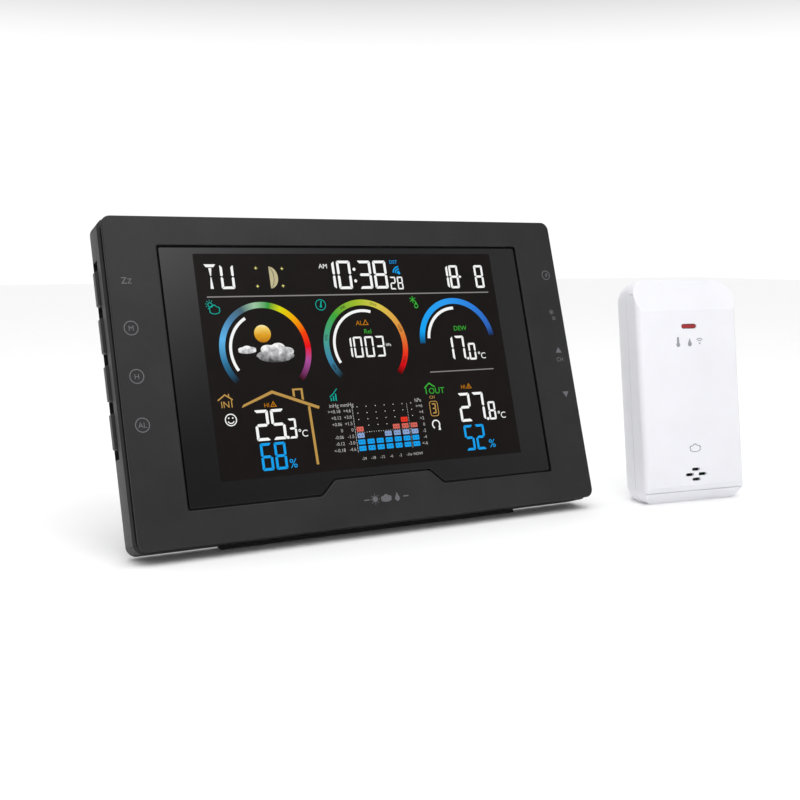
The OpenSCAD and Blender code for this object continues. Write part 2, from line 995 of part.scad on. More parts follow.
module sensor_front_shape(inset) {
    hull() {
        slab(front_round, part_y - front_round)
            sensor_panel(inset);
        for (sx = [-1, 1])
            intersection() {
                translate([sx * ridge_x, front_round, ridge_low + inset * 0.4])
                    cylinder(r = front_round - inset, h = ridge_high - ridge_low - inset * 0.8);
                translate([-sensor_w, 0, 0])
                    cube([2 * sensor_w, front_round, sensor_h]);
            }
    }
}

module sensor_rear_shape(inset) {
    hull() {
        slab(part_y, 2)
            sensor_panel(inset);
        for (step = [[0.55, 1], [0.85, 3], [1, 5]])
            slab(part_y, (sensor_d - part_y - inset) * step[0])
                sensor_panel(inset + step[1]);
    }
}

module sensor_front() {
    color(case_white)
    above_table()
    sensor_place()
    difference() {
        union() {
            difference() {
                sensor_front_shape(0);
                intersection() {
                    sensor_front_shape(sensor_wall);
                    translate([-sensor_w, 0, sensor_floor])
                        cube([2 * sensor_w, sensor_d, sensor_h]);
                }
                slab(part_y - 1, 2)
                    intersection() {
                        sensor_panel(sensor_wall);
                        translate([-sensor_w, sensor_floor])
                            square([2 * sensor_w, sensor_h]);
                    }
            }
            for (sx = [-1, 1], z = sensor_screw_z)
                rod(sensor_post_r, sx * sensor_screw_x, z, sensor_wall - eps, part_y - 0.4);
        }
        for (sx = [-1, 1], z = sensor_screw_z)
            rod(0.95, sx * sensor_screw_x, z, sensor_wall + 1.2, part_y + 1);
        seal_ring(0.05);
        slab(-1, 4)
            translate([0, led_z])
                stadium(9, 2.4);
        for (v = [[0, 2.5], [-3.85, 0], [3.85, 0], [0, -2.5]])
            slab(-1, 4)
                translate([v[0], vent_z + v[1]])
                    stadium(4.9, 1.5);
    }
}

module seal_ring(play) {
    slab(part_y - seal_t / 2 - play, seal_t + 2 * play)
        difference() {
            sensor_panel(0.5 - play);
            sensor_panel(1.2 + play);
        }
}

module sensor_seal() {
    color("#9a9a9a")
    above_table()
    sensor_place()
    seal_ring(0);
}

module prop_ears() {
    for (sx = [-1, 1])
        translate([sx * (prop_w / 2 + slide + 1.5) - 1.5, 0, 0])
            hull() {
                translate([0, prop_y, prop_z])
                    rotate([0, 90, 0])
                        cylinder(r = prop_barrel_r, h = 3);
                translate([0, sensor_d - 1, prop_z - 4])
                    cube([3, 1, 8]);
            }
}

module sensor_rear() {
    bay_mid = (bay_low + bay_top) / 2;
    color(case_white)
    above_table()
    sensor_place()
    difference() {
        union() {
            difference() {
                sensor_rear_shape(0);
                intersection() {
                    sensor_rear_shape(sensor_wall);
                    translate([-sensor_w, 0, sensor_floor])
                        cube([2 * sensor_w, sensor_d, sensor_h]);
                }
            }
            translate([-bay_w / 2 - bay_wall, bay_y - bay_wall, strip_low - bay_wall])
                cube([
                    bay_w + 2 * bay_wall, sensor_in - bay_y + bay_wall + 0.5,
                    bay_top - strip_low + 2 * bay_wall
                ]);
            slab(door_y - fit - 1, 1.6)
                translate([0, (door_low + door_high) / 2])
                    round_rect(door_w + 2, door_high - door_low + 2, 2);
            for (sx = [-1, 1], z = sensor_screw_z)
                rod(2.6, sx * sensor_screw_x, z, part_y + 0.3, sensor_in + 0.5);
            prop_ears();
        }
        slab(bay_y, sensor_d - bay_y + 1) {
            translate([0, bay_mid])
                square([bay_w, bay_h], center = true);
            translate([0, strip_mid])
                square([bay_w, strip_h], center = true);
        }
        slab(door_y - fit, door_t + 2)
            translate([0, (door_low + door_high) / 2])
                round_rect(door_w + 2 * fit, door_high - door_low + 2 * fit, 2);
        rod(1.3, pair_x, strip_mid, bay_y - bay_wall - 1, bay_y + 1);
        seal_ring(0.05);
        keyhole(0, hole_z, sensor_hole_r, hole_run, sensor_in - 1, sensor_d + 1);
        for (sx = [-1, 1], z = sensor_screw_z) {
            rod(1.1, sx * sensor_screw_x, z, part_y, sensor_d + 1);
            rod(2, sx * sensor_screw_x, z, sensor_in - 2.5, sensor_d + 1);
        }
        translate([-prop_w, prop_y, prop_z])
            rotate([0, 90, 0])
                cylinder(r = prop_pin_r, h = 2 * prop_w);
    }
    // Post that the door's screw turns into
    color(case_white)
    sensor_place()
    difference() {
        rod(2.4, 0, strip_mid, bay_y - eps, door_y - fit);
        rod(1, 0, strip_mid, bay_y + 4, door_y + 1);
    }
}

module sensor_screws() {
    color(steel)
    sensor_place()
    for (sx = [-1, 1], z = sensor_screw_z)
        pan_screw(sx * sensor_screw_x, z, sensor_in - 2.5, 1.9, 1.4, 1, sensor_in - part_y + 2.5);
}

module battery_door() {
    color(case_white)
    sensor_place()
    difference() {
        slab(door_y, door_t)
            translate([0, (door_low + door_high) / 2])
                round_rect(door_w, door_high - door_low, 2);
        rod(1.1, 0, strip_mid, door_y - 1, sensor_d + 1);
        rod(2.1, 0, strip_mid, door_y + 0.7, sensor_d + 1);
        for (i = [-3 : 3])
            translate([0, sensor_d, door_high - 12 + i * 2])
                cube([14, 0.8, 0.8], center = true);
    }
}

module door_screw() {
    color(steel)
    sensor_place()
    pan_screw(0, strip_mid, door_y + 0.7, 2, 0.75, 0.9, 7);
}

// ---------- Sensor: inside ----------

module led_window() {
    color("#c3161c")
    sensor_place() {
        slab(0.15, 2.1)
            translate([0, led_z])
                stadium(8.8, 2.2);
        slab(sensor_wall + 0.1, 0.6)
            translate([0, led_z])
                stadium(11, 4);
    }
}

module status_led() {
    color("#ffdddd")
    sensor_place()
    rod(1.1, 0, led_z, sensor_wall + 0.8, sensor_board_y);
}

module sensor_board() {
    color(board_green)
    sensor_place()
    difference() {
        slab(sensor_board_y, sensor_board_t)
            panel(sensor_w - 14, sensor_h - 30, 1, sensor_h / 2 - 3);
        for (sx = [-1, 1], z = sensor_screw_z)
            rod(sensor_post_r + slide, sx * sensor_screw_x, z, sensor_board_y - 1, sensor_board_y + 3);
    }
}

module humidity_chip() {
    color("white")
    sensor_place()
    difference() {
        translate([-2.5, sensor_wall + 0.6, vent_z - 2.5])
            cube([5, sensor_board_y - sensor_wall - 0.6, 5]);
        rod(1, 0, vent_z, 0, sensor_wall + 1.2);
    }
}

module sensor_antenna() {
    color(gold)
    sensor_place() {
        translate([sensor_w / 2 - 5, sensor_board_y + sensor_board_t + 0.5, 30])
            cylinder(r = 0.5, h = 55);
        translate([sensor_w / 2 - 8.5, sensor_board_y + sensor_board_t + 0.5, 30.5])
            rotate([0, 90, 0])
                cylinder(r = 0.5, h = 4);
    }
}

module aa_cells() {
    color("#3a3f46")
    sensor_place()
    for (s = [-1, 1])
        translate([s * cell_x, aa_y, bay_low + bay_h / 2])
            rotate([s > 0 ? 180 : 0, 0, 0])
                translate([0, 0, -aa_l / 2]) {
                    cylinder(r = aa_r, h = aa_l - 1);
                    cylinder(r = 2.7, h = aa_l);
                }
}

module cell_contacts() {
    color(steel)
    sensor_place()
    for (s = [-1, 1], e = [-1, 1])
        translate([s * cell_x, aa_y, bay_low + bay_h / 2 + e * (bay_h / 2 - 0.25)])
            cube([aa_r * 1.4, aa_r * 1.4, 0.5], center = true);
}

module channel_switch() {
    color(steel)
    sensor_place()
    translate([-13, bay_y, strip_low + 1])
        cube([9, 4, strip_h - 2]);
}

module channel_slider() {
    color(inner_black)
    sensor_place()
    translate([-12.4, bay_y + 4 + fit, strip_low + 2])
        cube([2.6, 2.4, strip_h - 4]);
}

module pair_button() {
    color("#6b6e73")
    sensor_place() {
        rod(1.8, pair_x, strip_mid, bay_y + pair_travel + 0.2, bay_y + 2.4);
        rod(1, pair_x, strip_mid, sensor_board_y + sensor_board_t + pair_travel + fit, bay_y + 1);
    }
}

// ---------- Sensor: prop ----------

module prop_leg() {
    color(case_white)
    prop_place()
    difference() {
        union() {
            translate([-prop_w / 2, 0, 0])
                rotate([0, 90, 0])
                    cylinder(r = prop_barrel_r, h = prop_w);
            translate([-prop_w / 2, -prop_t / 2, -prop_l])
                cube([prop_w, prop_t, prop_l]);
            translate([-prop_w / 2, 0, -prop_l])
                rotate([0, 90, 0])
                    cylinder(r = prop_t / 2, h = prop_w);
        }
        translate([-prop_w, 0, 0])
            rotate([0, 90, 0])
                cylinder(r = prop_pin_r + pin_play, h = 2 * prop_w);
    }
}

module prop_pin() {
    color(steel)
    sensor_place()
    translate([-prop_w / 2 - slide - 2.8, prop_y, prop_z])
        rotate([0, 90, 0])
            cylinder(r = prop_pin_r, h = prop_w + 2 * slide + 5.6);
}

front_bezel();
display_lens();
lens_tape();
lcd_panel();
diffuser_sheet();
light_guide();
led_strip();
lcd_frame();
frame_screws();
lcd_ribbon();
main_board();
board_screws();
chip_blob();
radio_module();
console_antenna();
buzzer();
pressure_sensor();
indoor_sensor();
key_boards();
tact_switches();
rear_cover();
case_screws();
foot_strip();
dc_jack();
coin_holder();
coin_cell();
coin_contact();
coin_door();
light_switch();
light_slider();
reset_button();
stand();
stand_pin();
stand_pad();
key_snooze();
key_mode();
key_history();
key_alert();
key_pressure();
key_index();
key_channel();
key_down();
sensor_front();
sensor_rear();
sensor_seal();
sensor_screws();
led_window();
status_led();
sensor_board();
humidity_chip();
sensor_antenna();
aa_cells();
cell_contacts();
battery_door();
door_screw();
channel_switch();
channel_slider();
pair_button();
prop_leg();
prop_pin();
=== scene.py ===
"""Looks of a home weather station: a leaning desk console with a colour display, and its outdoor sensor."""
import json
import math

import bpy
from mathutils import Matrix, Vector

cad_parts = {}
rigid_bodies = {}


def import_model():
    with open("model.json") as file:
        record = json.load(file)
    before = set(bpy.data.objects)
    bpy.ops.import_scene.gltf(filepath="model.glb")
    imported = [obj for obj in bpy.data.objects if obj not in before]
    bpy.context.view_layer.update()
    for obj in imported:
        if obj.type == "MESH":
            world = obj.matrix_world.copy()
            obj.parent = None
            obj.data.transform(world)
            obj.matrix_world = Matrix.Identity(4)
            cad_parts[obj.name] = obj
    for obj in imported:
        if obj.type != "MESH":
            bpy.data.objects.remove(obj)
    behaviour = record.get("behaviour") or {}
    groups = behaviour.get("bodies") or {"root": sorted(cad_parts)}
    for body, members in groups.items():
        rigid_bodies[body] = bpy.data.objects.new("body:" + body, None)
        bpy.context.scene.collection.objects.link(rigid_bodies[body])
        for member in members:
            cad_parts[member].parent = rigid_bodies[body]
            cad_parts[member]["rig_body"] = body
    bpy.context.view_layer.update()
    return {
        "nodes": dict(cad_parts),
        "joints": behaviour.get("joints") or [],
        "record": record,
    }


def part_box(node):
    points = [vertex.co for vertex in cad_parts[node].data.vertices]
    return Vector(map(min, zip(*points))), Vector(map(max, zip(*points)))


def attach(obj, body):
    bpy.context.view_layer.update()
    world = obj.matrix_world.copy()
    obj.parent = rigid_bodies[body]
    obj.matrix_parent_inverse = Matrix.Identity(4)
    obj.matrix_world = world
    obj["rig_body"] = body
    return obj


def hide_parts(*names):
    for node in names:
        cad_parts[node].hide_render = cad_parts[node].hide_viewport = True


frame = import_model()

# ---------- Places, taken from the frame ----------

MM = 0.001
PLATE_H = 140
PLATE_R = 4
PROP_HINGE = Vector((0, 26.2, 26.9))

joints = {joint["name"]: joint for joint in frame["joints"]}
bezel_low, bezel_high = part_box("front_bezel")
PLATE_W = (bezel_high.x - bezel_low.x) / MM


def own_frame(right, back, origin):
    """Matrix from a body's own millimetres (x right, y back, z up) to the row's metres."""
    up = right.cross(back)
    turn = Matrix((right, back, up)).transposed().to_4x4()
    return Matrix.Translation(origin) @ turn @ Matrix.Scale(MM, 4)


console_back = -Vector(joints["reset_press"]["axis"]).normalized()
lean_cos = console_back.y
CONSOLE = own_frame(
    Vector((1, 0, 0)), console_back,
    Vector((0, bezel_low.y, bezel_high.z - PLATE_H * MM * lean_cos)))

sensor_right = Vector(joints["channel_slide"]["axis"]).normalized()
sensor_back = -Vector(joints["pair_press"]["axis"]).normalized()
SENSOR = own_frame(sensor_right, sensor_back, Vector((0, 0, 0)))
SENSOR = Matrix.Translation(Vector(joints["prop_fold"]["pos_m"]) - SENSOR @ PROP_HINGE) @ SENSOR

# ---------- Materials ----------


def linear(code):
    """sRGB hex code to linear red, green, blue and alpha."""
    parts = [int(code[i:i + 2], 16) / 255 for i in (1, 3, 5)]
    return [c / 12.92 if c <= 0.04045 else ((c + 0.055) / 1.055) ** 2.4 for c in parts] + [1]


def add(tree, kind, values=None, links=None, **settings):
    """Adds a node with its settings, its input values and the sockets that feed it."""
    new = tree.nodes.new(kind)
    for key, value in settings.items():
        setattr(new, key, value)
    for key, value in (values or {}).items():
        new.inputs[key].default_value = value
    for key, socket in (links or {}).items():
        tree.links.new(socket, new.inputs[key])
    return new


def blank(name):
    material = bpy.data.materials.new(name)
    material.use_nodes = True
    material.node_tree.nodes.clear()
    return material, material.node_tree


def finish_surface(tree, values, links):
    shader = add(tree, "ShaderNodeBsdfPrincipled", values, links)
    add(tree, "ShaderNodeOutputMaterial", links={"Surface": shader.outputs[0]})


def grained(name, dark, light, rough, grain, depth, **extra):
    """A moulded surface: grain in mm across, depth in mm high, and colour drifting between two tones."""
    material, tree = blank(name)
    place = add(tree, "ShaderNodeTexCoord")
    pits = add(tree, "ShaderNodeTexNoise", {"Scale": 1 / (grain * MM), "Detail": 3, "Roughness": 0.6},
               {"Vector": place.outputs["Object"]})
    drift = add(tree, "ShaderNodeTexNoise", {"Scale": 1 / (24 * MM), "Detail": 2},
                {"Vector": place.outputs["Object"]})
    blend = add(tree, "ShaderNodeMath", {1: 0.35}, {0: pits.outputs["Fac"]}, operation="MULTIPLY")
    both = add(tree, "ShaderNodeMath", links={0: drift.outputs["Fac"], 1: blend.outputs[0]},
               operation="ADD")
    tone = add(tree, "ShaderNodeMapRange", {"From Min": 0.4, "From Max": 0.95}, {"Value": both.outputs[0]})
    colour = add(tree, "ShaderNodeMix", {"A": linear(dark), "B": linear(light)},
                 {"Factor": tone.outputs[0]}, data_type="RGBA")
    polish = add(tree, "ShaderNodeMapRange", {"To Min": rough - 0.04, "To Max": rough + 0.05},
                 {"Value": pits.outputs["Fac"]})
    bump = add(tree, "ShaderNodeBump", {"Strength": 0.6, "Distance": depth * MM},
               {"Height": pits.outputs["Fac"]})
    values = {"IOR": 1.5}
    values.update(extra)
    finish_surface(tree, values, {
        "Base Color": colour.outputs["Result"],
        "Roughness": polish.outputs[0],
        "Normal": bump.outputs[0]})
    return material


def finish_glow(tree, colour):
    """Light of one colour from an area that reflects nothing itself."""
    finish_surface(tree, {"Base Color": (0, 0, 0, 1), "Roughness": 0.5, "Specular IOR Level": 0,
                          "Emission Strength": 1}, {"Emission Color": colour})


def glow_along(tree, factor, stops):
    """Light whose colour follows a factor through the given stops."""
    ramp = add(tree, "ShaderNodeValToRGB", links={"Fac": factor})
    marks = ramp.color_ramp.elements
    while len(marks) < len(stops):
        marks.new(0.5)
    for mark, (position, colour) in zip(marks, stops):
        mark.position = position
        mark.color = linear(colour)
    finish_glow(tree, ramp.outputs["Color"])


def glowing(name, colour, shade=0.82):
    """A backlit liquid crystal area: even light with the faint mottling of its diffuser."""
    material, tree = blank(name)
    place = add(tree, "ShaderNodeTexCoord")
    mottle = add(tree, "ShaderNodeTexNoise", {"Scale": 1 / (6 * MM), "Detail": 2},
                 {"Vector": place.outputs["Object"]})
    dim = [c * shade for c in linear(colour)[:3]] + [1]
    light = add(tree, "ShaderNodeMix", {"A": dim, "B": linear(colour)},
                {"Factor": mottle.outputs["Fac"]}, data_type="RGBA")
    finish_glow(tree, light.outputs["Result"])
    return material


# ABS moulded in a spark-eroded tool: a fine sandy matt, grey where light rakes it.
BLACK_ABS = grained("spark_eroded_black_abs", "#0c0c0c", "#1c1c1c", 0.5, 0.55, 0.11,
                    **{"Specular IOR Level": 0.4})
# The same ABS from a smoother cavity, on keys and small covers.
SATIN_ABS = grained("satin_black_abs", "#0e0e0f", "#171718", 0.45, 0.35, 0.02)
# The same plastic on inner walls, darker than on the outside: painted shade for walls that lie out of the
# light.
PAINTED_SHADE_ABS = grained("inner_abs_painted_shade", "#060607", "#0b0b0c", 0.6, 0.5, 0.01)
# Polished smoked acrylic over black print: a clear mirror-like reflection over black.
SMOKED_ACRYLIC = grained("polished_smoked_acrylic", "#08080a", "#0c0c0e", 0.08, 8, 0.0002, IOR=1.49)
# Liquid crystal glass behind its polariser: a slightly warm black that reflects less than the lens.
POLARISED_GLASS = grained("polarised_glass", "#151211", "#191514", 0.3, 10, 0.0002,
                          **{"Specular IOR Level": 0.06})
# Pad-printed grey ink, matt and thin.
GREY_INK = grained("grey_pad_print", "#58585c", "#66666a", 0.55, 0.3, 0.002)
# The same print in a lighter grey, for the white sensor.
LIGHT_INK = grained("light_grey_pad_print", "#8a8d93", "#969a9f", 0.55, 0.3, 0.002)
# Gloss-white ABS with the softest orange peel, satin to the eye.
WHITE_ABS = grained("satin_white_abs", "#e7e7ec", "#ededf2", 0.4, 0.9, 0.004)
# Tinted clear plastic in front of a dark LED.
RED_CLEAR = grained("tinted_red_polycarbonate", "#840a10", "#a51016", 0.3, 2, 0.002, IOR=1.58)
# Bright zinc plate on small steel screws and pins.
ZINC = grained("bright_zinc_plate", "#a9adb3", "#c2c5ca", 0.3, 0.4, 0.004, Metallic=1)
GOLD_PLATE = grained("gold_plated_bronze", "#b8923c", "#d3ae5a", 0.28, 0.5, 0.003, Metallic=1)
RUBBER = grained("moulded_black_rubber", "#0f0f10", "#18181a", 0.82, 0.4, 0.02)
GREY_SILICONE = grained("grey_silicone", "#8a8b8e", "#9a9b9e", 0.6, 0.5, 0.01)
SOLDER_MASK = grained("green_solder_mask", "#0f4229", "#17573a", 0.34, 1.2, 0.01)
BLUE_MASK = grained("blue_solder_mask", "#1c3b78", "#274c92", 0.34, 1.2, 0.01)
EPOXY = grained("black_epoxy", "#0a0a0b", "#121213", 0.25, 3, 0.02)
WHITE_FILM = grained("white_diffusing_film", "#e4e4e2", "#f2f2f0", 0.7, 0.6, 0.004)
CLEAR_GUIDE = grained("acrylic_light_guide", "#cfdde2", "#dfeaee", 0.12, 4, 0.001)
NYLON = grained("ivory_nylon", "#d8d1be", "#e6e0cf", 0.5, 0.8, 0.01)
FRAME_GREY = grained("light_grey_abs", "#c2c4c6", "#d3d5d7", 0.5, 0.6, 0.01)
POLYIMIDE = grained("amber_polyimide", "#8a5c1f", "#a8752f", 0.3, 1.5, 0.004)
CELL_FOIL = grained("printed_cell_jacket", "#2c3138", "#3b424b", 0.3, 1.5, 0.003, Metallic=0.6)

LCD_WHITE = glowing("backlit_white", "#fbfcfc", 0.93)
LCD_GREY = glowing("backlit_grey", "#b9b8b6")
LCD_RULE = glowing("backlit_rule_grey", "#8f8d8b")
LCD_BLUE = glowing("backlit_blue", "#19a4f2", 0.9)
LCD_TAN = glowing("backlit_tan", "#c49a52")
LCD_GREEN = glowing("backlit_green", "#3db83c")
LCD_TEAL = glowing("backlit_teal", "#14b3a2")
LCD_ORANGE = glowing("backlit_orange", "#c87f12")
LCD_LILAC = glowing("backlit_lilac", "#8fa9d8")
LCD_SALMON = glowing("backlit_salmon", "#d9695d")
LCD_RED = glowing("backlit_red", "#f23a2a")
LCD_YELLOW = glowing("backlit_pale_yellow", "#e9e58a")
LCD_MOON = glowing("backlit_moon", "#cdc39a", 0.75)

# ---------- Shapes ----------


def only(piece):
    bpy.ops.object.select_all(action="DESELECT")
    piece.select_set(True)
    bpy.context.view_layer.objects.active = piece


def apply_modifiers(piece):
    only(piece)
    for modifier in list(piece.modifiers):
        bpy.ops.object.modifier_apply(modifier=modifier.name)


def joined(pieces, name):
    bpy.ops.object.select_all(action="DESELECT")
    for piece in pieces:
        piece.select_set(True)
    bpy.context.view_layer.objects.active = pieces[0]
    if len(pieces) > 1:
        bpy.ops.object.join()
    pieces[0].name = name
    return pieces[0]


def place(piece, matrix, material, body, replaced=(), slot=None):
    """Puts a piece drawn in its body's own millimetres into the row frame, and fastens it there."""
    piece.data.transform(matrix @ piece.matrix_world)
    piece.matrix_world = Matrix.Identity(4)
    piece.data.materials.clear()
    piece.data.materials.append(material)
    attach(piece, body)
    if replaced:
        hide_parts(*replaced)
    return piece


def arc(cx, cz, radius, start, end, steps=12):
    """Points along an arc, in degrees counted anticlockwise from +x."""
    angles = [math.radians(start + (end - start) * i / steps) for i in range(steps + 1)]
    return [(cx + radius * math.cos(a), cz + radius * math.sin(a)) for a in angles]


def circle(cx, cz, radius, steps=32):
    return arc(cx, cz, radius, 0, 360, steps)[:-1]


def rounded(cx, cz, width, height, radius, steps=6):
    half_w = width / 2 - radius
    half_h = height / 2 - radius
    corners = ((1, 1, 0), (-1, 1, 90), (-1, -1, 180), (1, -1, 270))
    return [p for sx, sz, start in corners
            for p in arc(cx + sx * half_w, cz + sz * half_h, radius, start, start + 90, steps)]


def bar(x1, z1, x2, z2, width):
    """Outline of a straight stroke between two points."""
    run = Vector((x2 - x1, z2 - z1))
    side = Vector((-run.y, run.x)).normalized() * width / 2
    return [(x1 + side.x, z1 + side.y), (x1 - side.x, z1 - side.y),
            (x2 - side.x, z2 - side.y), (x2 + side.x, z2 + side.y)]


def flat(loops, front, thickness, ease=0.0):
    """A flat piece facing forwards, cut to the given outlines, with eased front and back edges.
    An outline inside another one is a hole."""
    curve = bpy.data.curves.new("outline", "CURVE")
    curve.dimensions = "2D"
    curve.fill_mode = "BOTH"
    curve.extrude = thickness / 2 - ease
    curve.bevel_depth = ease
    curve.bevel_resolution = 2
    curve.offset = -ease
    for loop in loops:
        spline = curve.splines.new("POLY")
        spline.points.add(len(loop) - 1)
        spline.use_cyclic_u = True
        for point, (x, z) in zip(spline.points, loop):
            point.co = (x, z, 0, 1)
    piece = bpy.data.objects.new("outline", curve)
    bpy.context.scene.collection.objects.link(piece)
    only(piece)
    bpy.ops.object.convert(target="MESH")
    piece = bpy.context.view_layer.objects.active
    stand_up = Matrix.Translation((0, front + thickness / 2, 0)) @ Matrix.Rotation(math.pi / 2, 4, "X")
    piece.data.transform(stand_up)
    return piece


def lettered(text, x, z, height, front, align="LEFT", spacing=1.0):
    """Generic numbers and units in plain type; height is that of a capital."""
    letters = bpy.data.curves.new("letters", "FONT")
    letters.body = text
    letters.size = height / 0.72
    letters.extrude = INK / 2
    letters.align_x = align
    letters.space_line = spacing
    letters.resolution_u = 3
    piece = bpy.data.objects.new("letters", letters)
    bpy.context.scene.collection.objects.link(piece)
    only(piece)
    bpy.ops.object.convert(target="MESH")
    piece = bpy.context.view_layer.objects.active
    stand_up = Matrix.Translation((x, front + INK / 2, z)) @ Matrix.Rotation(math.pi / 2, 4, "X")
    piece.data.transform(stand_up)
    return piece


def eased_block(low, high, ease, segments=3):
    """A box between two corners with all its edges rounded."""
    low, high = Vector(low), Vector(high)
    bpy.ops.object.select_all(action="DESELECT")
    bpy.ops.mesh.primitive_cube_add(size=1, location=(low + high) / 2)
    piece = bpy.context.active_object
    piece.scale = high - low
    bpy.ops.object.transform_apply(location=True, rotation=False, scale=True)
    bpy.ops.object.mode_set(mode="EDIT")
    bpy.ops.mesh.select_all(action="SELECT")
    bpy.ops.mesh.bevel(offset=ease, segments=segments, affect="EDGES")
    bpy.ops.object.mode_set(mode="OBJECT")
    bpy.ops.object.shade_smooth_by_angle(angle=math.radians(40))
    return piece


def refined(node, name, ease, material, sharp=50):
    """A copy of a CAD node's shape with its edges broken and its curves shaded round."""
    source = frame["nodes"][node]
    piece = bpy.data.objects.new(name, source.data.copy())
    bpy.context.scene.collection.objects.link(piece)
    only(piece)
    bpy.ops.object.mode_set(mode="EDIT")
    bpy.ops.mesh.select_all(action="SELECT")
    bpy.ops.mesh.remove_doubles(threshold=0.004 * MM)
    bpy.ops.mesh.dissolve_limited(angle_limit=math.radians(0.4))
    bpy.ops.object.mode_set(mode="OBJECT")
    if ease:
        edges = piece.modifiers.new("edges", "BEVEL")
        edges.width = ease * MM
        edges.segments = 2
        edges.limit_method = "ANGLE"
        edges.angle_limit = math.radians(sharp)
        edges.use_clamp_overlap = True
        apply_modifiers(piece)
    only(piece)
    bpy.ops.object.shade_smooth_by_angle(angle=math.radians(16))
    return place(piece, Matrix.Identity(4), material, source["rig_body"], (node,), slot_of[node])


slot_of = {part["node"]: part["material_slot"] for part in frame["record"]["subparts"]}

# ---------- Camera, floor and light ----------

lens_data = bpy.data.cameras.new("camera")
lens_data.lens = 53.14
camera = bpy.data.objects.new("camera", lens_data)
bpy.context.scene.collection.objects.link(camera)
bpy.context.scene.camera = camera
look = Matrix.Rotation(math.radians(-29.63), 4, "Z") @ Matrix.Rotation(math.radians(90 - 7.18), 4, "X")
look = look @ Matrix.Rotation(math.radians(0.149), 4, "Z")
camera.matrix_world = Matrix.Translation((-0.24982, -0.46169, 0.12518)) @ look

bpy.context.scene.view_settings.view_transform = "Standard"

bpy.ops.object.select_all(action="DESELECT")
bpy.ops.mesh.primitive_plane_add(size=8, location=(0, 0, -0.00002))
floor = bpy.context.active_object
floor.name = "floor"
floor.data.materials.append(grained("matte_white_paper", "#fcfcfc", "#fefefe", 0.95, 1.5, 0.001))


def world_light():
    """A white studio: bright all round near the horizon, dimmer above, dimmest high in front."""
    world = bpy.data.worlds.new("studio")
    bpy.context.scene.world = world
    world.use_nodes = True
    tree = world.node_tree
    tree.nodes.clear()
    place = add(tree, "ShaderNodeTexCoord")
    split = add(tree, "ShaderNodeSeparateXYZ", links={"Vector": place.outputs["Generated"]})
    above = add(tree, "ShaderNodeMapRange",
                {"From Min": -0.35, "From Max": 0.25, "To Min": FRONT_LIGHT, "To Max": BACK_LIGHT},
                {"Value": split.outputs["Y"]}, interpolation_type="SMOOTHSTEP")
    low = add(tree, "ShaderNodeMapRange",
              {"From Min": 0.3, "From Max": 0.14, "To Min": 0, "To Max": HORIZON_LIGHT},
              {"Value": split.outputs["Z"]}, interpolation_type="SMOOTHSTEP")
    total = add(tree, "ShaderNodeMath", links={0: above.outputs[0], 1: low.outputs[0]},
                operation="MAXIMUM").outputs[0]
    for direction, tightness, strength in PATCHES:
        facing = add(tree, "ShaderNodeVectorMath", {1: Vector(direction).normalized()},
                     {0: place.outputs["Generated"]}, operation="DOT_PRODUCT")
        ahead = add(tree, "ShaderNodeMath", {1: 0}, {0: facing.outputs["Value"]}, operation="MAXIMUM")
        lobe = add(tree, "ShaderNodeMath", {1: tightness}, {0: ahead.outputs[0]}, operation="POWER")
        total = add(tree, "ShaderNodeMath", {1: strength}, {0: lobe.outputs[0], 2: total},
                    operation="MULTIPLY_ADD").outputs[0]
    sky = add(tree, "ShaderNodeBackground", {"Color": (1, 1, 1, 1)}, {"Strength": total})
    add(tree, "ShaderNodeOutputWorld", links={"Surface": sky.outputs[0]})


HORIZON_LIGHT = 1.04
FRONT_LIGHT = 0.15
BACK_LIGHT = 0.6
PATCHES = (((0, 0, 1), 2, 1.02), ((0.64, -0.68, 0.36), 50, 0.35), ((-0.9, -0.35, 0.3), 6, 0.3))
world_light()


def soft_light(name, place, target, size, power):
    lamp = bpy.data.lights.new(name, "AREA")
    lamp.shape = "DISK"
    lamp.size = size
    lamp.energy = power
    holder = bpy.data.objects.new(name, lamp)
    bpy.context.scene.collection.objects.link(holder)
    aim = Vector(target) - Vector(place)
    holder.matrix_world = Matrix.Translation(place) @ aim.to_track_quat("-Z", "Y").to_matrix().to_4x4()


soft_light("overhead_softbox", (0.1, 0.15, 1.3), (0.05, 0, 0), 1.4, 1.6)


def soft_panel(name, place, target, size, strength):
    """A diffusing panel that is brightest in its middle and fades to nothing at its edge."""
    aim = Vector(target) - Vector(place)
    bpy.ops.object.select_all(action="DESELECT")
    bpy.ops.mesh.primitive_plane_add(size=size)
    panel = bpy.context.active_object
    panel.name = name
    panel.matrix_world = Matrix.Translation(place) @ aim.to_track_quat("-Z", "Y").to_matrix().to_4x4()
    material, tree = blank(name)
    coordinate = add(tree, "ShaderNodeTexCoord")
    centred = add(tree, "ShaderNodeMapping", {"Scale": [2 / size] * 3},
                  {"Vector": coordinate.outputs["Object"]})
    fade = add(tree, "ShaderNodeTexGradient", links={"Vector": centred.outputs["Vector"]},
               gradient_type="QUADRATIC_SPHERE")
    level = add(tree, "ShaderNodeMath", {1: strength}, {0: fade.outputs["Fac"]}, operation="MULTIPLY")
    glow = add(tree, "ShaderNodeEmission", {"Color": (1, 1, 1, 1)}, {"Strength": level.outputs[0]})
    clear = add(tree, "ShaderNodeBsdfTransparent")
    both = add(tree, "ShaderNodeAddShader", links={0: glow.outputs[0], 1: clear.outputs[0]})
    add(tree, "ShaderNodeOutputMaterial", links={"Surface": both.outputs[0]})
    panel.data.materials.append(material)
    panel.visible_camera = False
    panel.visible_shadow = False


soft_panel("key_panel", (-0.03, -0.31, 0.52), (-0.1, 0.03, 0.13), 0.74, 5)
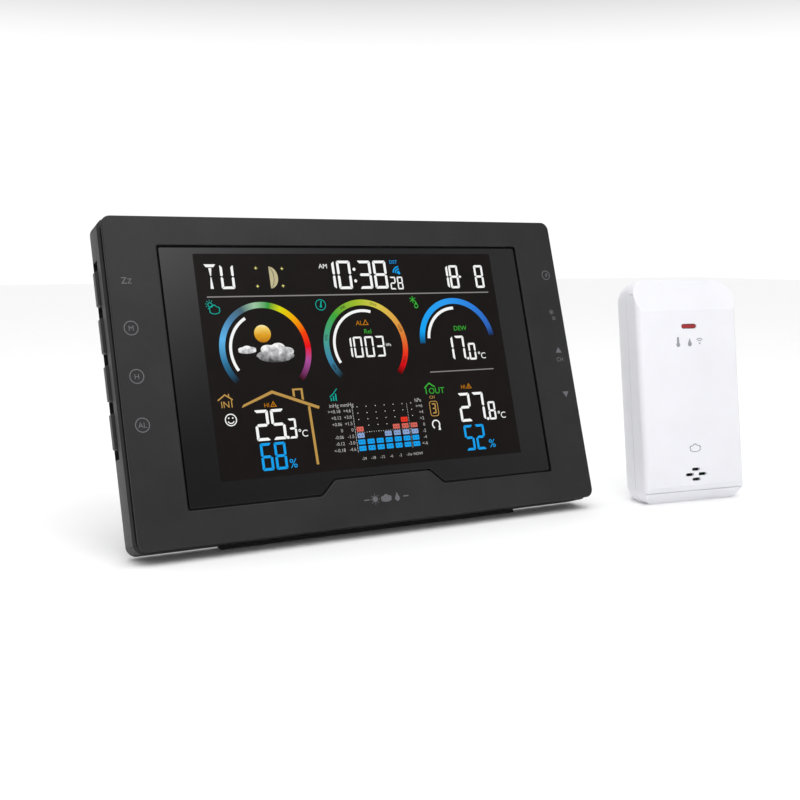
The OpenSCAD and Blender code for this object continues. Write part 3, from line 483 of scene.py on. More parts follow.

# ---------- Materials on the CAD nodes that stay ----------

# Nodes in the inner_black slot take the darker inner plastic, which is painted shade.
FINISH = {
    "case_black": BLACK_ABS, "key_black": SATIN_ABS, "inner_black": PAINTED_SHADE_ABS, "foam_tape": RUBBER,
    "lens_black": SMOKED_ACRYLIC, "lcd_glass": POLARISED_GLASS, "white_film": WHITE_FILM,
    "clear_acrylic": CLEAR_GUIDE, "led_strip": WHITE_FILM, "frame_grey": FRAME_GREY, "steel": ZINC,
    "gold_contact": GOLD_PLATE, "ribbon_amber": POLYIMIDE, "pcb_green": SOLDER_MASK,
    "pcb_blue": BLUE_MASK, "chip_epoxy": EPOXY, "sensor_chip": EPOXY, "holder_ivory": NYLON,
    "rubber_black": RUBBER, "rubber_grey": GREY_SILICONE, "button_grey": GREY_SILICONE,
    "sensor_white": WHITE_ABS, "led_red": RED_CLEAR, "led_clear": CLEAR_GUIDE, "cell_jacket": CELL_FOIL}
for node, thing in frame["nodes"].items():
    thing.data.materials.clear()
    thing.data.materials.append(FINISH[slot_of[node]])

# ---------- Console: case, plate and lens ----------

INK = 0.02
KEY_TOP = 112
KEY_STEP = 20.25
KEY_MID_Y = 13.75
LENS_FACE = 0.7
PICTURE_FACE = LENS_FACE - INK
DRAWN_FACE = PICTURE_FACE - INK
TAB_SLOPE = 7 / 6.5


def window(margin):
    """Outline of the plate's window drawn in by a margin; its lower edge steps up over the tab."""
    spread = margin * (math.sqrt(1 + TAB_SLOPE ** 2) - TAB_SLOPE)
    half, low, high = 91.7 - margin, 14.5 + margin, 127.3 - margin
    top_half = 24 + spread
    low_half = top_half + 6.5 * TAB_SLOPE
    return [(-half, high), (-half, low), (-low_half, low), (-top_half, low + 6.5),
            (top_half, low + 6.5), (low_half, low), (half, low), (half, high)]


def eased_corners(loop, radius, steps=4):
    """The same outline with each corner cut by a small arc."""
    made = []
    count = len(loop)
    for i, corner in enumerate(loop):
        here = Vector(corner)
        before = (Vector(loop[i - 1]) - here).normalized() * radius
        after = (Vector(loop[(i + 1) % count]) - here).normalized() * radius
        for k in range(steps + 1):
            t = k / steps
            point = here + before * (1 - t) ** 2 + after * t ** 2
            made.append((point.x, point.y))
    return made


plate_edge = rounded(0, PLATE_H / 2, PLATE_W, PLATE_H, PLATE_R)
front_plate = flat([plate_edge, eased_corners(window(0), 1.2)], 0, 1.1, 0.4)
front_plate.name = "front_plate"
place(front_plate, CONSOLE, BLACK_ABS, "console", ("front_bezel",), "case_black")

groove_wall = flat([rounded(0, PLATE_H / 2, 224.6, 136.6, 3), rounded(0, PLATE_H / 2, 221.4, 133.4, 2)],
                   2.6, 6.4, 0.1)
plate_core = flat([rounded(0, PLATE_H / 2, PLATE_W - 1.4, PLATE_H - 1.4, PLATE_R - 0.7),
                   eased_corners(window(-0.1), 1.2)], 1.1, 1.5)
ledge = flat([eased_corners(window(-1.2), 1.2), eased_corners(window(3), 1.2)], 2.6, 1.2)
# The groove wall, plate core and ledge take the darker inner plastic: painted shade in the groove and around
# the lens.
place(joined([groove_wall, plate_core, ledge], "plate_back_rim"), CONSOLE, PAINTED_SHADE_ABS, "console", (),
      "inner_black")

lens = flat([eased_corners(window(0.9), 1)], LENS_FACE, 1.6, 0.15)
lens.name = "lens"
place(lens, CONSOLE, SMOKED_ACRYLIC, "console", ("display_lens", "lens_tape"), "lens_black")

picture = flat([rounded(0, 74.35, 152, 98.5, 0.6)], PICTURE_FACE, INK)
picture.name = "picture_area"
place(picture, CONSOLE, POLARISED_GLASS, "console", (), "lcd_glass")

refined("rear_cover", "rear_case", 0.22, BLACK_ABS)
refined("coin_door", "coin_cover", 0.15, SATIN_ABS)
refined("stand", "stand_leg", 0.4, BLACK_ABS)
refined("foot_strip", "foot_pad", 0.15, RUBBER)
refined("light_slider", "backlight_slider", 0.1, SATIN_ABS)
refined("reset_button", "reset_cap", 0.12, GREY_SILICONE)
refined("dc_jack", "power_inlet", 0.12, SATIN_ABS)

# ---------- Console: side keys ----------


def side_key(node, side, z):
    """A bar key: a head with sloping ends, a wider flange inside the case and a stub for its switch."""
    bpy.ops.object.select_all(action="DESELECT")
    bpy.ops.mesh.primitive_cube_add(size=1, location=(114, KEY_MID_Y, 0))
    head = bpy.context.active_object
    head.scale = (3, 4.6, 16.4)
    bpy.ops.object.transform_apply(location=True, rotation=False, scale=True)
    bpy.ops.object.mode_set(mode="EDIT")
    bpy.ops.mesh.select_all(action="DESELECT")
    bpy.ops.object.mode_set(mode="OBJECT")
    for face in head.data.polygons:
        face.select = face.normal.x > 0.9
    bpy.ops.object.mode_set(mode="EDIT")
    bpy.ops.transform.resize(value=(1, 0.72, 0.88))
    bpy.ops.mesh.select_all(action="SELECT")
    bpy.ops.mesh.bevel(offset=0.3, segments=3, affect="EDGES")
    bpy.ops.object.mode_set(mode="OBJECT")
    bpy.ops.object.shade_smooth_by_angle(angle=math.radians(35))
    flange = eased_block((111.5, 9.7, -9), (112.3, 16.8, 9), 0.15, 2)
    bpy.ops.object.select_all(action="DESELECT")
    bpy.ops.mesh.primitive_cylinder_add(vertices=24, radius=1.3, depth=2, location=(111.4, KEY_MID_Y, 0),
                                        rotation=(0, math.pi / 2, 0))
    stub = bpy.context.active_object
    bpy.ops.object.transform_apply(location=True, rotation=True, scale=True)
    bpy.ops.object.mode_set(mode="EDIT")
    bpy.ops.mesh.select_all(action="SELECT")
    bpy.ops.mesh.bevel(offset=0.12, segments=2, affect="EDGES")
    bpy.ops.object.mode_set(mode="OBJECT")
    key = joined([head, flange, stub], node + "_cap")
    key.data.transform(Matrix.Translation((0, 0, z)))
    if side < 0:
        key.data.transform(Matrix.Scale(-1, 4, (1, 0, 0)))
        key.data.flip_normals()
    place(key, CONSOLE, SATIN_ABS, node, (node,), "key_black")


for side, nodes in ((-1, ("key_snooze", "key_mode", "key_history", "key_alert")),
                    (1, ("key_pressure", "key_index", "key_channel", "key_down"))):
    for row, node in enumerate(nodes):
        side_key(node, side, KEY_TOP - KEY_STEP * row)

# ---------- Console: printed marks ----------


def ring(cx, cz, radius, width):
    return [circle(cx, cz, radius), circle(cx, cz, radius - width)]


marks = []
for cx, cz, letter in ((-106.5, 91.7, "M"), (-106.5, 71.4, "H"), (-106.5, 51.2, "AL")):
    marks.append(flat(ring(cx, cz, 3.1, 0.4), -INK, INK))
    marks.append(lettered(letter, cx, cz - 1.15, 2.3, -INK, "CENTER"))
marks.append(lettered("Z", -107.2, 110.6, 2.8, -INK, "CENTER"))
marks.append(lettered("Z", -104.9, 110.6, 2.2, -INK, "CENTER"))
marks.append(flat(ring(107.7, 112.4, 2.4, 0.35), -INK, INK))
marks.append(flat([bar(107.7, 111.6, 108.3, 113.4, 0.6)], -INK, INK))
for turn in (0, 60, 120):
    reach = Vector((math.cos(math.radians(turn + 30)), math.sin(math.radians(turn + 30)))) * 1.5
    spoke = bar(107.3 - reach.x, 93.4 - reach.y, 107.3 + reach.x, 93.4 + reach.y, 0.35)
    marks.append(flat([spoke], -INK, INK))
marks.append(flat([circle(108.2, 90.2, 0.9, 16), circle(108.2, 90.2, 0.5, 16)], -INK, INK))
marks.append(flat([[(105.9, 72.6), (109.5, 72.6), (107.7, 75.4)]], -INK, INK))
marks.append(lettered("CH", 107.7, 68.2, 2.1, -INK, "CENTER"))
marks.append(flat([[(105.9, 52.9), (107.7, 50.1), (109.5, 52.9)]], -INK, INK))
place(joined(marks, "bezel_marks"), CONSOLE, GREY_INK, "console", (), "case_black")


def scallops(cx, cz, half_w, half_h, bumps, depth=0.16):
    """A small cloud's outline: bumps over the top, flat below."""
    made = []
    for i in range(72):
        angle = math.tau * i / 72
        bump = 1 - depth + depth * abs(math.sin(angle * bumps / 2)) * 1.6
        high = math.sin(angle)
        lift = bump if high > 0 else 0.55
        made.append((cx + half_w * math.cos(angle) * (bump if high > 0 else 1), cz + half_h * high * lift))
    return made


# A plain weather pictogram on the tab: sun, cloud and drop between two rules.
tab_mark = [
    flat([circle(-6, 10.7, 1.3, 24)], -INK, INK),
    flat([scallops(-0.4, 10.2, 2.7, 2.1, 6)], -INK, INK),
    flat([arc(5.2, 10.1, 1.2, 140, 400, 14) + [(5.2, 12.9)]], -INK, INK),
    flat([bar(-11.5, 10.7, -8.9, 10.7, 0.5)], -INK, INK),
    flat([bar(8.3, 10.7, 10.9, 10.7, 0.5)], -INK, INK)]
for turn in range(8):
    out = Vector((math.cos(math.tau * turn / 8), math.sin(math.tau * turn / 8)))
    ray = bar(-6 + out.x * 1.7, 10.7 + out.y * 1.7, -6 + out.x * 2.3, 10.7 + out.y * 2.3, 0.35)
    tab_mark.append(flat([ray], -INK, INK))
place(joined(tab_mark, "tab_pictogram"), CONSOLE, GREY_INK, "console", (), "case_black")

# ---------- The picture on the display ----------

picture_parts = {}


def show(colour, *loops_or_piece):
    """Adds outlines, or a ready flat piece, to the part of the picture in one colour."""
    for item in loops_or_piece:
        piece = flat(item, DRAWN_FACE, INK) if isinstance(item, list) else item
        picture_parts.setdefault(colour, []).append(piece)


SEGMENTS = {"0": "abcdef", "1": "bc", "2": "abged", "3": "abgcd", "5": "afgcd", "6": "afgedc",
            "7": "abc", "8": "abcdefg", "U": "bcdef", "-": "g"}


def segment(name, x, z, w, h, t):
    """Outline of one bar of a seven-bar digit: mitred ends with a hair gap between neighbours."""
    gap = 0.09 * t
    mid = h / 2
    shapes = {
        "a": [(0.45 * t + gap, h), (w - 0.45 * t - gap, h), (w - 0.2 * t - gap, h - 0.2 * t),
              (w - t - gap, h - t), (t + gap, h - t), (0.2 * t + gap, h - 0.2 * t)],
        "f": [(0, mid + 0.45 * t), (0, h - 0.5 * t - gap), (0.12 * t, h - 0.2 * t - gap),
              (t, h - t - gap), (t, mid + 0.62 * t), (0.5 * t, mid + gap)],
        "g": [(0.55 * t + gap, mid), (t + gap, mid + t / 2), (w - t - gap, mid + t / 2),
              (w - 0.55 * t - gap, mid), (w - t - gap, mid - t / 2), (t + gap, mid - t / 2)]}
    shapes["d"] = [(px, h - pz) for px, pz in shapes["a"]]
    shapes["e"] = [(px, h - pz) for px, pz in shapes["f"]]
    shapes["b"] = [(w - px, pz) for px, pz in shapes["f"]]
    shapes["c"] = [(w - px, h - pz) for px, pz in shapes["f"]]
    return [(x + px, z + pz) for px, pz in shapes[name]]


def digits(colour, z, h, t, *glyphs):
    """Seven-bar digits, each given as its character, left edge and width."""
    for glyph, x, w in glyphs:
        if glyph == ".":
            show(colour, [circle(x, z + t / 2, t * 0.55, 12)])
            continue
        for name in SEGMENTS[glyph]:
            show(colour, [segment(name, x, z, w, h, t)])


def degrees_c(x, z, h):
    show("white", lettered("C", x + h * 0.42, z, h, DRAWN_FACE))
    show("white", ring(x + h * 0.18, z + h * 0.92, h * 0.2, h * 0.1))


def warning(x, z):
    """HI and an alert triangle, in orange."""
    show("orange", lettered("HI", x, z, 1.9, DRAWN_FACE))
    apex = [(x + 2.9, z), (x + 6, z), (x + 4.45, z + 2.6)]
    inner = [(x + 3.5, z + 0.35), (x + 5.4, z + 0.35), (x + 4.45, z + 1.95)]
    show("orange", [apex, inner], [bar(x + 4.45, z + 0.6, x + 4.45, z + 1.5, 0.3)])


def star(cx, cz, reach):
    made = []
    for i in range(8):
        radius = reach if i % 2 == 0 else reach * 0.35
        angle = math.tau * i / 8
        made.append((cx + radius * math.cos(angle), cz + radius * math.sin(angle)))
    return made


# Top row: weekday, moon, time, date
show("white", [[(-71.7, 118.9), (-66.3, 118.9), (-67.3, 117.6), (-70.7, 117.6)]],
     [[(-69.7, 117.2), (-68.3, 117.2), (-68.8, 113.7), (-69.2, 113.7)]],
     [[(-69.2, 113.1), (-68.8, 113.1), (-68.3, 108), (-69.7, 108)]])
digits("white", 107.8, 11, 1.15, ("U", -64.6, 6.2))
digits("white", 107, 13.4, 1.25, ("1", -15.9, 6.4), ("0", -8.3, 7), ("3", 2.3, 6.9), ("8", 10.4, 6.9))
show("white", [circle(0.5, 116.3, 0.75, 12)], [circle(0.5, 110.8, 0.75, 12)])
digits("white", 106.5, 6.1, 0.65, ("2", 18.4, 3), ("8", 22.2, 3))
digits("white", 106.6, 11.4, 1.1, ("1", 45.9, 4.8), ("8", 51.3, 5), ("-", 55.6, 3), ("8", 65.6, 5))
show("white", lettered("AM", -17.3, 116.8, 2.2, DRAWN_FACE))
show("rule", [bar(-71.9, 104.4, 72, 104.4, 0.55)], [bar(32.5, 66.5, 67.9, 66.5, 0.5)])
show("blue", lettered("DST", 19.4, 118.9, 1.7, DRAWN_FACE))
for reach in (1.3, 2.4, 3.5):
    show("blue", [arc(24.2, 114, reach + 0.3, 95, 170, 8) + arc(24.2, 114, reach - 0.3, 170, 95, 8)])
show("blue", [circle(23.9, 114.3, 0.6, 12)])
moon = [(-41.9 + (px + 41.9) * 0.82, pz) for px, pz in arc(-41.9, 112.8, 5, 88, -88, 20)]
terminator = [(-41.9 + (px + 41.9) * 0.5, pz) for px, pz in arc(-41.9, 112.8, 4.6, 80, -80, 16)]
show("moon", [moon, terminator + [(px - 0.25, pz) for px, pz in reversed(terminator)]])
for cx, cz in ((-47.8, 117.1), (-35.4, 116.8), (-48, 108.9), (-35.9, 108.9)):
    show("yellow", [star(cx, cz, 0.9)])

# Left dial: forecast
show("teal", ring(-71, 101, 1.1, 0.35))
for turn in range(1, 7):
    out = Vector((math.cos(math.tau * turn / 10 + 0.4), math.sin(math.tau * turn / 10 + 0.4)))
    show("teal", [bar(-71 + out.x * 1.5, 101 + out.y * 1.5, -71 + out.x * 2.1, 101 + out.y * 2.1, 0.3)])
show("teal", [scallops(-69.2, 98.2, 2.5, 2.6, 6), scallops(-69.2, 98.25, 2.1, 2.15, 6)])
show("cloud", [scallops(-56.8, 80.2, 4.2, 2.2, 6, 0.1)], [scallops(-43.6, 77.6, 8.6, 5.4, 7, 0.12)])
show("sun", [circle(-48.7, 87.6, 3.9, 40)])

# Middle dial: pressure
show("teal", ring(-18.9, 99.9, 2.6, 0.35), [bar(-18.9, 99, -18.5, 101.6, 0.6)],
     [circle(-18.9, 99.2, 0.6, 12)])
show("orange", lettered("AL", -2.6, 90, 2.2, DRAWN_FACE),
     [[(0.9, 90), (3.9, 90), (2.4, 92.7)], [(1.45, 90.35), (3.35, 90.35), (2.4, 92)]])
show("green", lettered("Rel", 0.9, 86, 2.2, DRAWN_FACE), lettered("DEW", 48.9, 85.9, 2.3, DRAWN_FACE))
digits("white", 75, 9.7, 0.85, ("1", -10.6, 4.4), ("0", -5.3, 4.5), ("0", 0.5, 4.5), ("3", 6, 4.5))
show("white", lettered("hPa", 11.2, 79.8, 1.4, DRAWN_FACE))

# Right dial: outdoor dew point
for turn in (30, 90, 150):
    out = Vector((math.cos(math.radians(turn)), math.sin(math.radians(turn)))) * 1.7
    show("green", [bar(29 - out.x, 101.4 - out.y, 29 + out.x, 101.4 + out.y, 0.4)])
show("green", [arc(30.4, 98.3, 1.1, 140, 400, 14) + [(30.4, 100.9)], circle(30.4, 98.4, 0.7, 14)])
digits("white", 71.6, 11.7, 1.1, ("1", 42.4, 5), ("7", 48.3, 5.3), (".", 54.6, 1))
digits("white", 71.4, 8.2, 0.95, ("0", 55.5, 4))
degrees_c(60.6, 71.8, 3)

# Indoor block
show("tan", [[(-73.1, 59.6), (-69.6, 62), (-66.1, 59.6), (-66.4, 59.1), (-69.6, 61.3), (-72.8, 59.1)]],
     [bar(-66.9, 56.1, -66.9, 59.3, 0.45)], [bar(-67.9, 60.6, -67.9, 62, 0.5)],
     lettered("IN", -71.9, 56.1, 2.9, DRAWN_FACE))
show("white", ring(-68.2, 50.8, 2.7, 0.45), [circle(-69.1, 51.6, 0.35, 10)], [circle(-67.3, 51.6, 0.35, 10)],
     [arc(-68.2, 50.7, 1.6, 200, 340, 8) + arc(-68.2, 50.7, 1.2, 340, 200, 8)])
show("tan", [[(-62.6, 55.6), (-61.9, 56.9), (-47.9, 62.4), (-26.3, 54.1), (-26.9, 52.9), (-47.9, 61)]],
     [bar(-31.4, 54.4, -30.9, 28.6, 1.2)],
     [[(-38.4, 59.3), (-38.4, 62.6), (-33.4, 62.6), (-33.4, 57.3), (-34.4, 57.7), (-34.4, 61.8),
       (-37.4, 61.8), (-37.4, 58.9)]])
warning(-52.5, 55.2)
digits("white", 40.8, 13.4, 1.25, ("2", -57.6, 6.5), ("5", -50.1, 6.4), (".", -43.2, 1))
digits("white", 40.8, 8.8, 0.95, ("3", -42.6, 3.9))
degrees_c(-37.9, 41.2, 3.1)
digits("blue", 27.9, 11.9, 1.15, ("6", -56.8, 5.4), ("8", -50.4, 5.4))
show("blue", lettered("%", -44.2, 28.2, 4, DRAWN_FACE), lettered("%", 58.6, 28.9, 4, DRAWN_FACE))

# Outdoor block
show("green", [[(27.9, 59.4), (30.9, 61.7), (33.8, 59.7), (33.5, 59.2), (30.9, 61), (28.3, 58.9)]],
     [bar(28.8, 56.3, 28.8, 59.2, 0.5)], lettered("OUT", 30.1, 56.3, 2.9, DRAWN_FACE))
show("tan", [rounded(31.6, 49.3, 4.6, 7.2, 1.3), rounded(31.6, 49.3, 3.9, 6.5, 1)],
     lettered("CH", 31.4, 54, 1.5, DRAWN_FACE, "CENTER"))
digits("tan", 47, 4.8, 0.6, ("3", 30.4, 2.3))
show("white", [arc(31.4, 41.9, 2.2, -50, 240, 20) + arc(31.4, 41.9, 1.6, 240, -50, 20)],
     [[(32.2, 39.3), (33.6, 39.1), (33.4, 40.9)]])
warning(47.9, 57.7)
digits("white", 42, 13.7, 1.25, ("2", 45.4, 6.4), ("7", 53.1, 6.3), (".", 60.4, 1))
digits("white", 42, 8.8, 0.95, ("8", 61.3, 4))
degrees_c(66.4, 42.4, 3.1)
digits("blue", 28.3, 12, 1.15, ("5", 45.9, 5.1), ("2", 52, 5.1))

# Pressure history: seven columns of blocks on a dotted scale
show("teal", [bar(-20.8, 57.8, -18.9, 59.3, 0.4)], [bar(-18.9, 59.3, -16.9, 61.4, 0.4)],
     [bar(-20.2, 56, -20.2, 57.4, 0.6)], [bar(-19, 56, -19, 58.2, 0.6)], [bar(-17.8, 56, -17.8, 59.2, 0.6)])
column_x = [-8.1 + 4.63 * i for i in range(7)]
row_z = [33.8 + 2.9 * i for i in range(8)]
HISTORY = ("bbls", "bb", "bb", "bbl", "bbls", "bblsr", "bbls")
BLOCK_COLOURS = {"b": "blue", "l": "lilac", "s": "salmon", "r": "red"}
for cx, column in zip(column_x, HISTORY):
    for cz, block in zip(row_z, column):
        slits = [rounded(cx + dx, cz, 0.55, 0.35, 0.1, 2) for dx in (-0.75, 0.75)]
        show(BLOCK_COLOURS[block], [rounded(cx, cz, 3.5, 2.2, 0.3, 3)] + slits)
    for row in range(len(column), 7):
        show("white", [circle(cx, row_z[row] + 1.45, 0.2, 8)])
for i in range(29):
    cz = 32.4 + i * 0.72
    show("white", [circle(-10.6, cz, 0.16, 6)], [circle(17.4, cz, 0.13, 6)])
for i in range(24):
    show("white", [circle(-9.6 + i * 1.2, 41, 0.14, 6)])
for row, (inches, metric, hecto) in enumerate((
        ("<-0.18", "-4.6", "<-6"), ("-0.12", "-3.0", "-4"), ("-0.06", "-1.5", "-2"), ("0", "0", "0"),
        ("+0.06", "+1.5", "+2"), ("+0.12", "+3.0", "+4"), (">+0.18", "+4.6", ">+6"))):
    cz = row_z[row] - 0.8
    show("grey", lettered(inches, -16.6, cz, 1.55, DRAWN_FACE, "RIGHT"),
         lettered(metric, -11.4, cz, 1.55, DRAWN_FACE, "RIGHT"),
         lettered(hecto, 25.6, cz, 1.55, DRAWN_FACE, "RIGHT"))
for cx, hours in zip(column_x, ("-24", "-18", "-12", "-6", "-3", "-1hr", "NOW")):
    show("grey", lettered(hours, cx, 28.6, 1.35, DRAWN_FACE, "CENTER"))
show("grey", lettered("inHg mmHg", -21.8, 53, 1.8, DRAWN_FACE), lettered("hPa", 21.8, 53, 1.8, DRAWN_FACE))


def in_plate(x, z):
    """A point of the picture in the row's metres."""
    return CONSOLE @ Vector((x, DRAWN_FACE, z))


upright = Matrix.Rotation(math.acos(console_back.y), 3, "X").inverted() @ Matrix.Rotation(math.pi / 2, 3, "X")


def from_centre(tree, cx, cz, turn=0.0, size=1.0):
    """Coordinates about a point of the picture: x to the right and y up, turned and in units of size mm."""
    coordinate = add(tree, "ShaderNodeTexCoord")
    facing = (upright @ Matrix.Rotation(turn, 3, "Z")).to_euler("XYZ")
    return add(tree, "ShaderNodeMapping",
               {"Location": in_plate(cx, cz), "Rotation": facing, "Scale": [size * MM] * 3},
               {"Vector": coordinate.outputs["Object"]}, vector_type="TEXTURE").outputs["Vector"]


def glowing_scale(name, cx, cz, left, right, stops):
    """Colours that run clockwise along a dial's band; left and right are its ends in degrees from the top."""
    material, tree = blank(name)
    around = add(tree, "ShaderNodeTexGradient", links={"Vector": from_centre(tree, cx, cz, math.pi / 2)},
                 gradient_type="RADIAL")
    along = add(tree, "ShaderNodeMapRange", {"From Min": 0.5 + left / 360, "From Max": 0.5 - right / 360},
                {"Value": around.outputs["Fac"]})
    glow_along(tree, along.outputs[0], stops)
    return material


def glowing_shape(name, cx, cz, size, stops, noise, lift):
    """A shaded picture: lighter towards its top by lift, and broken up by soft noise."""
    material, tree = blank(name)
    local = from_centre(tree, cx, cz, 0, size)
    swirl = add(tree, "ShaderNodeTexNoise", {"Scale": 1.5, "Detail": 3}, {"Vector": local})
    height = add(tree, "ShaderNodeSeparateXYZ", links={"Vector": local})
    fade = add(tree, "ShaderNodeMath", {1: lift, 2: 0.5 - noise / 2}, {0: height.outputs["Y"]},
               operation="MULTIPLY_ADD")
    mixed = add(tree, "ShaderNodeMath", {1: noise}, {0: swirl.outputs["Fac"], 2: fade.outputs[0]},
                operation="MULTIPLY_ADD")
    glow_along(tree, mixed.outputs[0], stops)
    return material


def band(cx, cz, outer, inner, left, right):
    """Outline of part of a dial's ring; its ends are given in degrees from the top, left positive."""
    return [arc(cx, cz, outer, 90 + left, 90 - right, 72) + arc(cx, cz, inner, 90 - right, 90 + left, 72)]


DIALS = (
    ("forecast_dial", -48, 80.4, 21.4, 18.7, 133, 133,
     ((0, "#1e1a19"), (0.1, "#2f6f96"), (0.22, "#5fb4ea"), (0.33, "#4d7ea3"), (0.4, "#4b6874"),
      (0.47, "#9fc6a4"), (0.54, "#2f9a3c"), (0.6, "#d9d714"), (0.68, "#f2a90f"), (0.76, "#f2440f"),
      (0.83, "#e8121c"),
      (0.9, "#a8509a"), (1, "#3a1114"))),
    ("pressure_dial", 1.3, 80.6, 21.4, 18.7, 133, 133,
     ((0, "#1e2226"), (0.1, "#3f86a8"), (0.2, "#4aa08c"), (0.33, "#3fa53c"), (0.47, "#9cba2e"),
      (0.58, "#d3c84e"), (0.7, "#dfa64a"), (0.8, "#dc7a35"), (0.88, "#e83a20"),
      (0.94, "#e0121a"), (1, "#3a0c0e"))),
    ("dew_dial", 50.5, 81, 20.8, 18, 92, 84,
     ((0, "#12486e"), (0.1, "#17a2f3"), (0.45, "#2f9cf0"), (0.7, "#2f7fdd"), (0.92, "#2f62b8"),
      (1, "#1f2c4a"))))
for name, cx, cz, outer, inner, left, right, stops in DIALS:
    dial = flat(band(cx, cz, outer, inner, left, right), DRAWN_FACE, INK)
    dial.name = name
    scale = glowing_scale("backlit_" + name, cx, cz, left, right, stops)
    place(dial, CONSOLE, scale, "console", (), "lcd_glass")
for value, turn in (("950", 118), ("970", 78), ("990", 28), ("1010", -18), ("1030", -68), ("1050", -112)):
    label = lettered(value, 0, 19.4, 1.4, DRAWN_FACE - INK, "CENTER")
    spin = Matrix.Translation((1.3, 0, 80.6)) @ Matrix.Rotation(math.radians(-turn), 4, "Y")
    label.data.transform(spin)
    show("ink", label)
show("white", band(-48, 80.4, 16.9, 15.6, 122, -29), band(1.3, 80.6, 16.8, 15.5, 118, 16),
     band(50.5, 81, 16.6, 15.2, 84, 0))

LCD = {"white": LCD_WHITE, "grey": LCD_GREY, "rule": LCD_RULE, "blue": LCD_BLUE, "tan": LCD_TAN,
       "green": LCD_GREEN, "teal": LCD_TEAL, "orange": LCD_ORANGE, "lilac": LCD_LILAC,
       "salmon": LCD_SALMON, "ink": POLARISED_GLASS, "red": LCD_RED, "yellow": LCD_YELLOW, "moon": LCD_MOON,
       "cloud": glowing_shape("backlit_cloud", -46, 79.5, 4.5,
                              ((0.1, "#4a4a4c"), (0.5, "#b9b9bb"), (0.75, "#fafafa")), 1.1, 0.35),
       "sun": glowing_shape("backlit_sun", -48.7, 87.6, 3.9,
                            ((0.1, "#b9781a"), (0.45, "#dda028"), (0.75, "#f3cf6a"), (0.95, "#fdf3c4")),
                            0.3, 0.4)}
for colour, pieces in picture_parts.items():
    place(joined(pieces, "picture_" + colour), CONSOLE, LCD[colour], "console", (), "lcd_glass")

# ---------- Sensor ----------

SENSOR_W = 60
SENSOR_H = 113
PART_Y = 10
FRONT_ROUND = 6
SIDE_ROUND = 3.4
CORNER_ROUND = 9
SHELL_WALL = 1.8
PARTING_GAP = 0.2
RIDGE_LOW = 9
RIDGE_HIGH = 97
LED_Z = 89
VENT_Z = 14.4


def facing(piece, test):
    """Selects the faces of a piece in edit mode whose normal and centre pass a test."""
    bpy.ops.mesh.select_all(action="DESELECT")
    bpy.ops.object.mode_set(mode="OBJECT")
    for face in piece.data.polygons:
        face.select = test(face.normal, face.center)
    bpy.ops.object.mode_set(mode="EDIT")


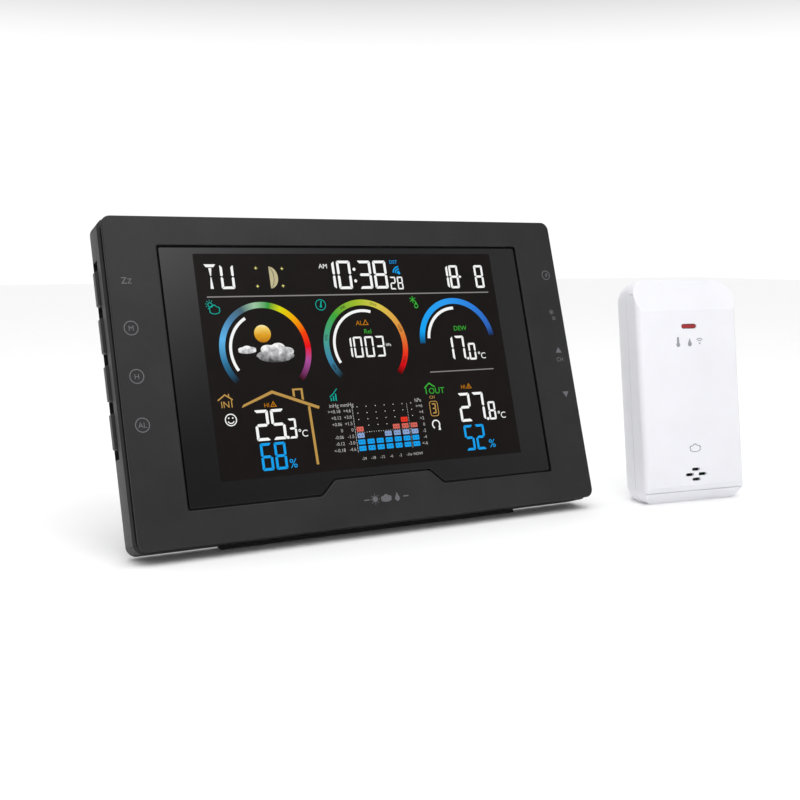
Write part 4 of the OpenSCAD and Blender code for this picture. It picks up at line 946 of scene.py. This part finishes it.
def sensor_front():
    """The white front shell: a rounded block with two slopes cut off it, hollowed and pierced."""
    shell = flat([rounded(0, SENSOR_H / 2, SENSOR_W, SENSOR_H, CORNER_ROUND, 10)], 0,
                 PART_Y - PARTING_GAP)
    only(shell)
    bpy.ops.object.mode_set(mode="EDIT")
    bpy.ops.mesh.select_all(action="SELECT")
    bpy.ops.mesh.remove_doubles(threshold=0.001)
    bpy.ops.mesh.dissolve_limited(angle_limit=math.radians(0.5))
    facing(shell, lambda normal, centre: normal.y < -0.9)
    bpy.ops.mesh.bevel(offset=SIDE_ROUND, segments=12, affect="EDGES", clamp_overlap=False)
    for ridge, run, way in ((RIDGE_LOW, RIDGE_LOW, -1), (RIDGE_HIGH, SENSOR_H - RIDGE_HIGH, 1)):
        bpy.ops.mesh.select_all(action="SELECT")
        slope = Vector((0, -run, way * (FRONT_ROUND + 0.3))).normalized()
        bpy.ops.mesh.bisect(plane_co=(0, 0, ridge), plane_no=slope, clear_outer=True, use_fill=True)
    facing(shell, lambda normal, centre: centre.y > PART_Y - PARTING_GAP - 0.1)
    bpy.ops.mesh.delete(type="ONLY_FACE")
    bpy.ops.mesh.select_all(action="SELECT")
    bpy.ops.mesh.normals_make_consistent(inside=False)
    bpy.ops.object.mode_set(mode="OBJECT")
    wall = shell.modifiers.new("wall", "SOLIDIFY")
    wall.thickness = SHELL_WALL
    wall.offset = -1
    apply_modifiers(shell)
    cutters = [flat([rounded(0, LED_Z, 9, 2.4, 1.19, 8)], -1, 5)]
    for dx, dz in ((0, 2.5), (-3.85, 0), (3.85, 0), (0, -2.5)):
        cutters.append(flat([rounded(dx, VENT_Z + dz, 4.9, 1.5, 0.74, 6)], -1, 5))
    cutter = joined(cutters, "cutter")
    openings = shell.modifiers.new("openings", "BOOLEAN")
    openings.object = cutter
    openings.operation = "DIFFERENCE"
    openings.solver = "EXACT"
    apply_modifiers(shell)
    bpy.data.objects.remove(cutter)
    edges = shell.modifiers.new("edges", "BEVEL")
    edges.width = 0.18
    edges.segments = 2
    edges.limit_method = "ANGLE"
    edges.angle_limit = math.radians(60)
    edges.use_clamp_overlap = False
    apply_modifiers(shell)
    shell.name = "sensor_front_shell"
    place(shell, SENSOR, WHITE_ABS, "sensor", ("sensor_front",), "sensor_white")
    only(shell)
    bpy.ops.object.mode_set(mode="EDIT")
    bpy.ops.mesh.select_all(action="SELECT")
    bpy.ops.mesh.bisect(plane_co=(0, 0, 0), plane_no=(0, 0, 1), clear_inner=True, use_fill=True)
    bpy.ops.object.mode_set(mode="OBJECT")
    bpy.ops.object.shade_smooth_by_angle(angle=math.radians(14))


sensor_front()
led_lens = flat([rounded(0, LED_Z, 8.5, 1.9, 0.94, 8)], 0.1, 2.1, 0.3)
led_lens.name = "led_lens"
only(led_lens)
bpy.ops.object.shade_smooth_by_angle(angle=math.radians(50))
place(led_lens, SENSOR, RED_CLEAR, "sensor", ("led_window",), "led_red")

refined("sensor_rear", "sensor_back_shell", 0.2, WHITE_ABS)
refined("battery_door", "battery_cover", 0.2, WHITE_ABS)
refined("prop_leg", "sensor_prop", 0.3, WHITE_ABS)
refined("channel_slider", "channel_knob", 0.1, SATIN_ABS)
refined("pair_button", "pair_cap", 0.1, GREY_SILICONE)

# Plain pictograms on the sensor: thermometer, drop and radio waves.
sensor_marks = [
    flat([arc(-7, 79.8, 1.15, 130, 410, 14) + [(-6.4, 83.6), (-7.6, 83.6)]], -INK, INK),
    flat([arc(0, 80, 1.2, 140, 400, 14) + [(0, 83)]], -INK, INK),
    flat([circle(6, 80.2, 0.5, 12)], -INK, INK)]
for reach in (1.5, 2.5):
    sensor_marks.append(
        flat([arc(6, 80.2, reach + 0.25, 45, 135, 8) + arc(6, 80.2, reach - 0.25, 135, 45, 8)], -INK, INK))
sensor_marks.append(flat([scallops(0, 27, 3.4, 2.6, 6), scallops(0, 27.05, 2.8, 2.05, 6)], -INK, INK))
place(joined(sensor_marks, "sensor_pictograms"), SENSOR, LIGHT_INK, "sensor", (), "sensor_white")
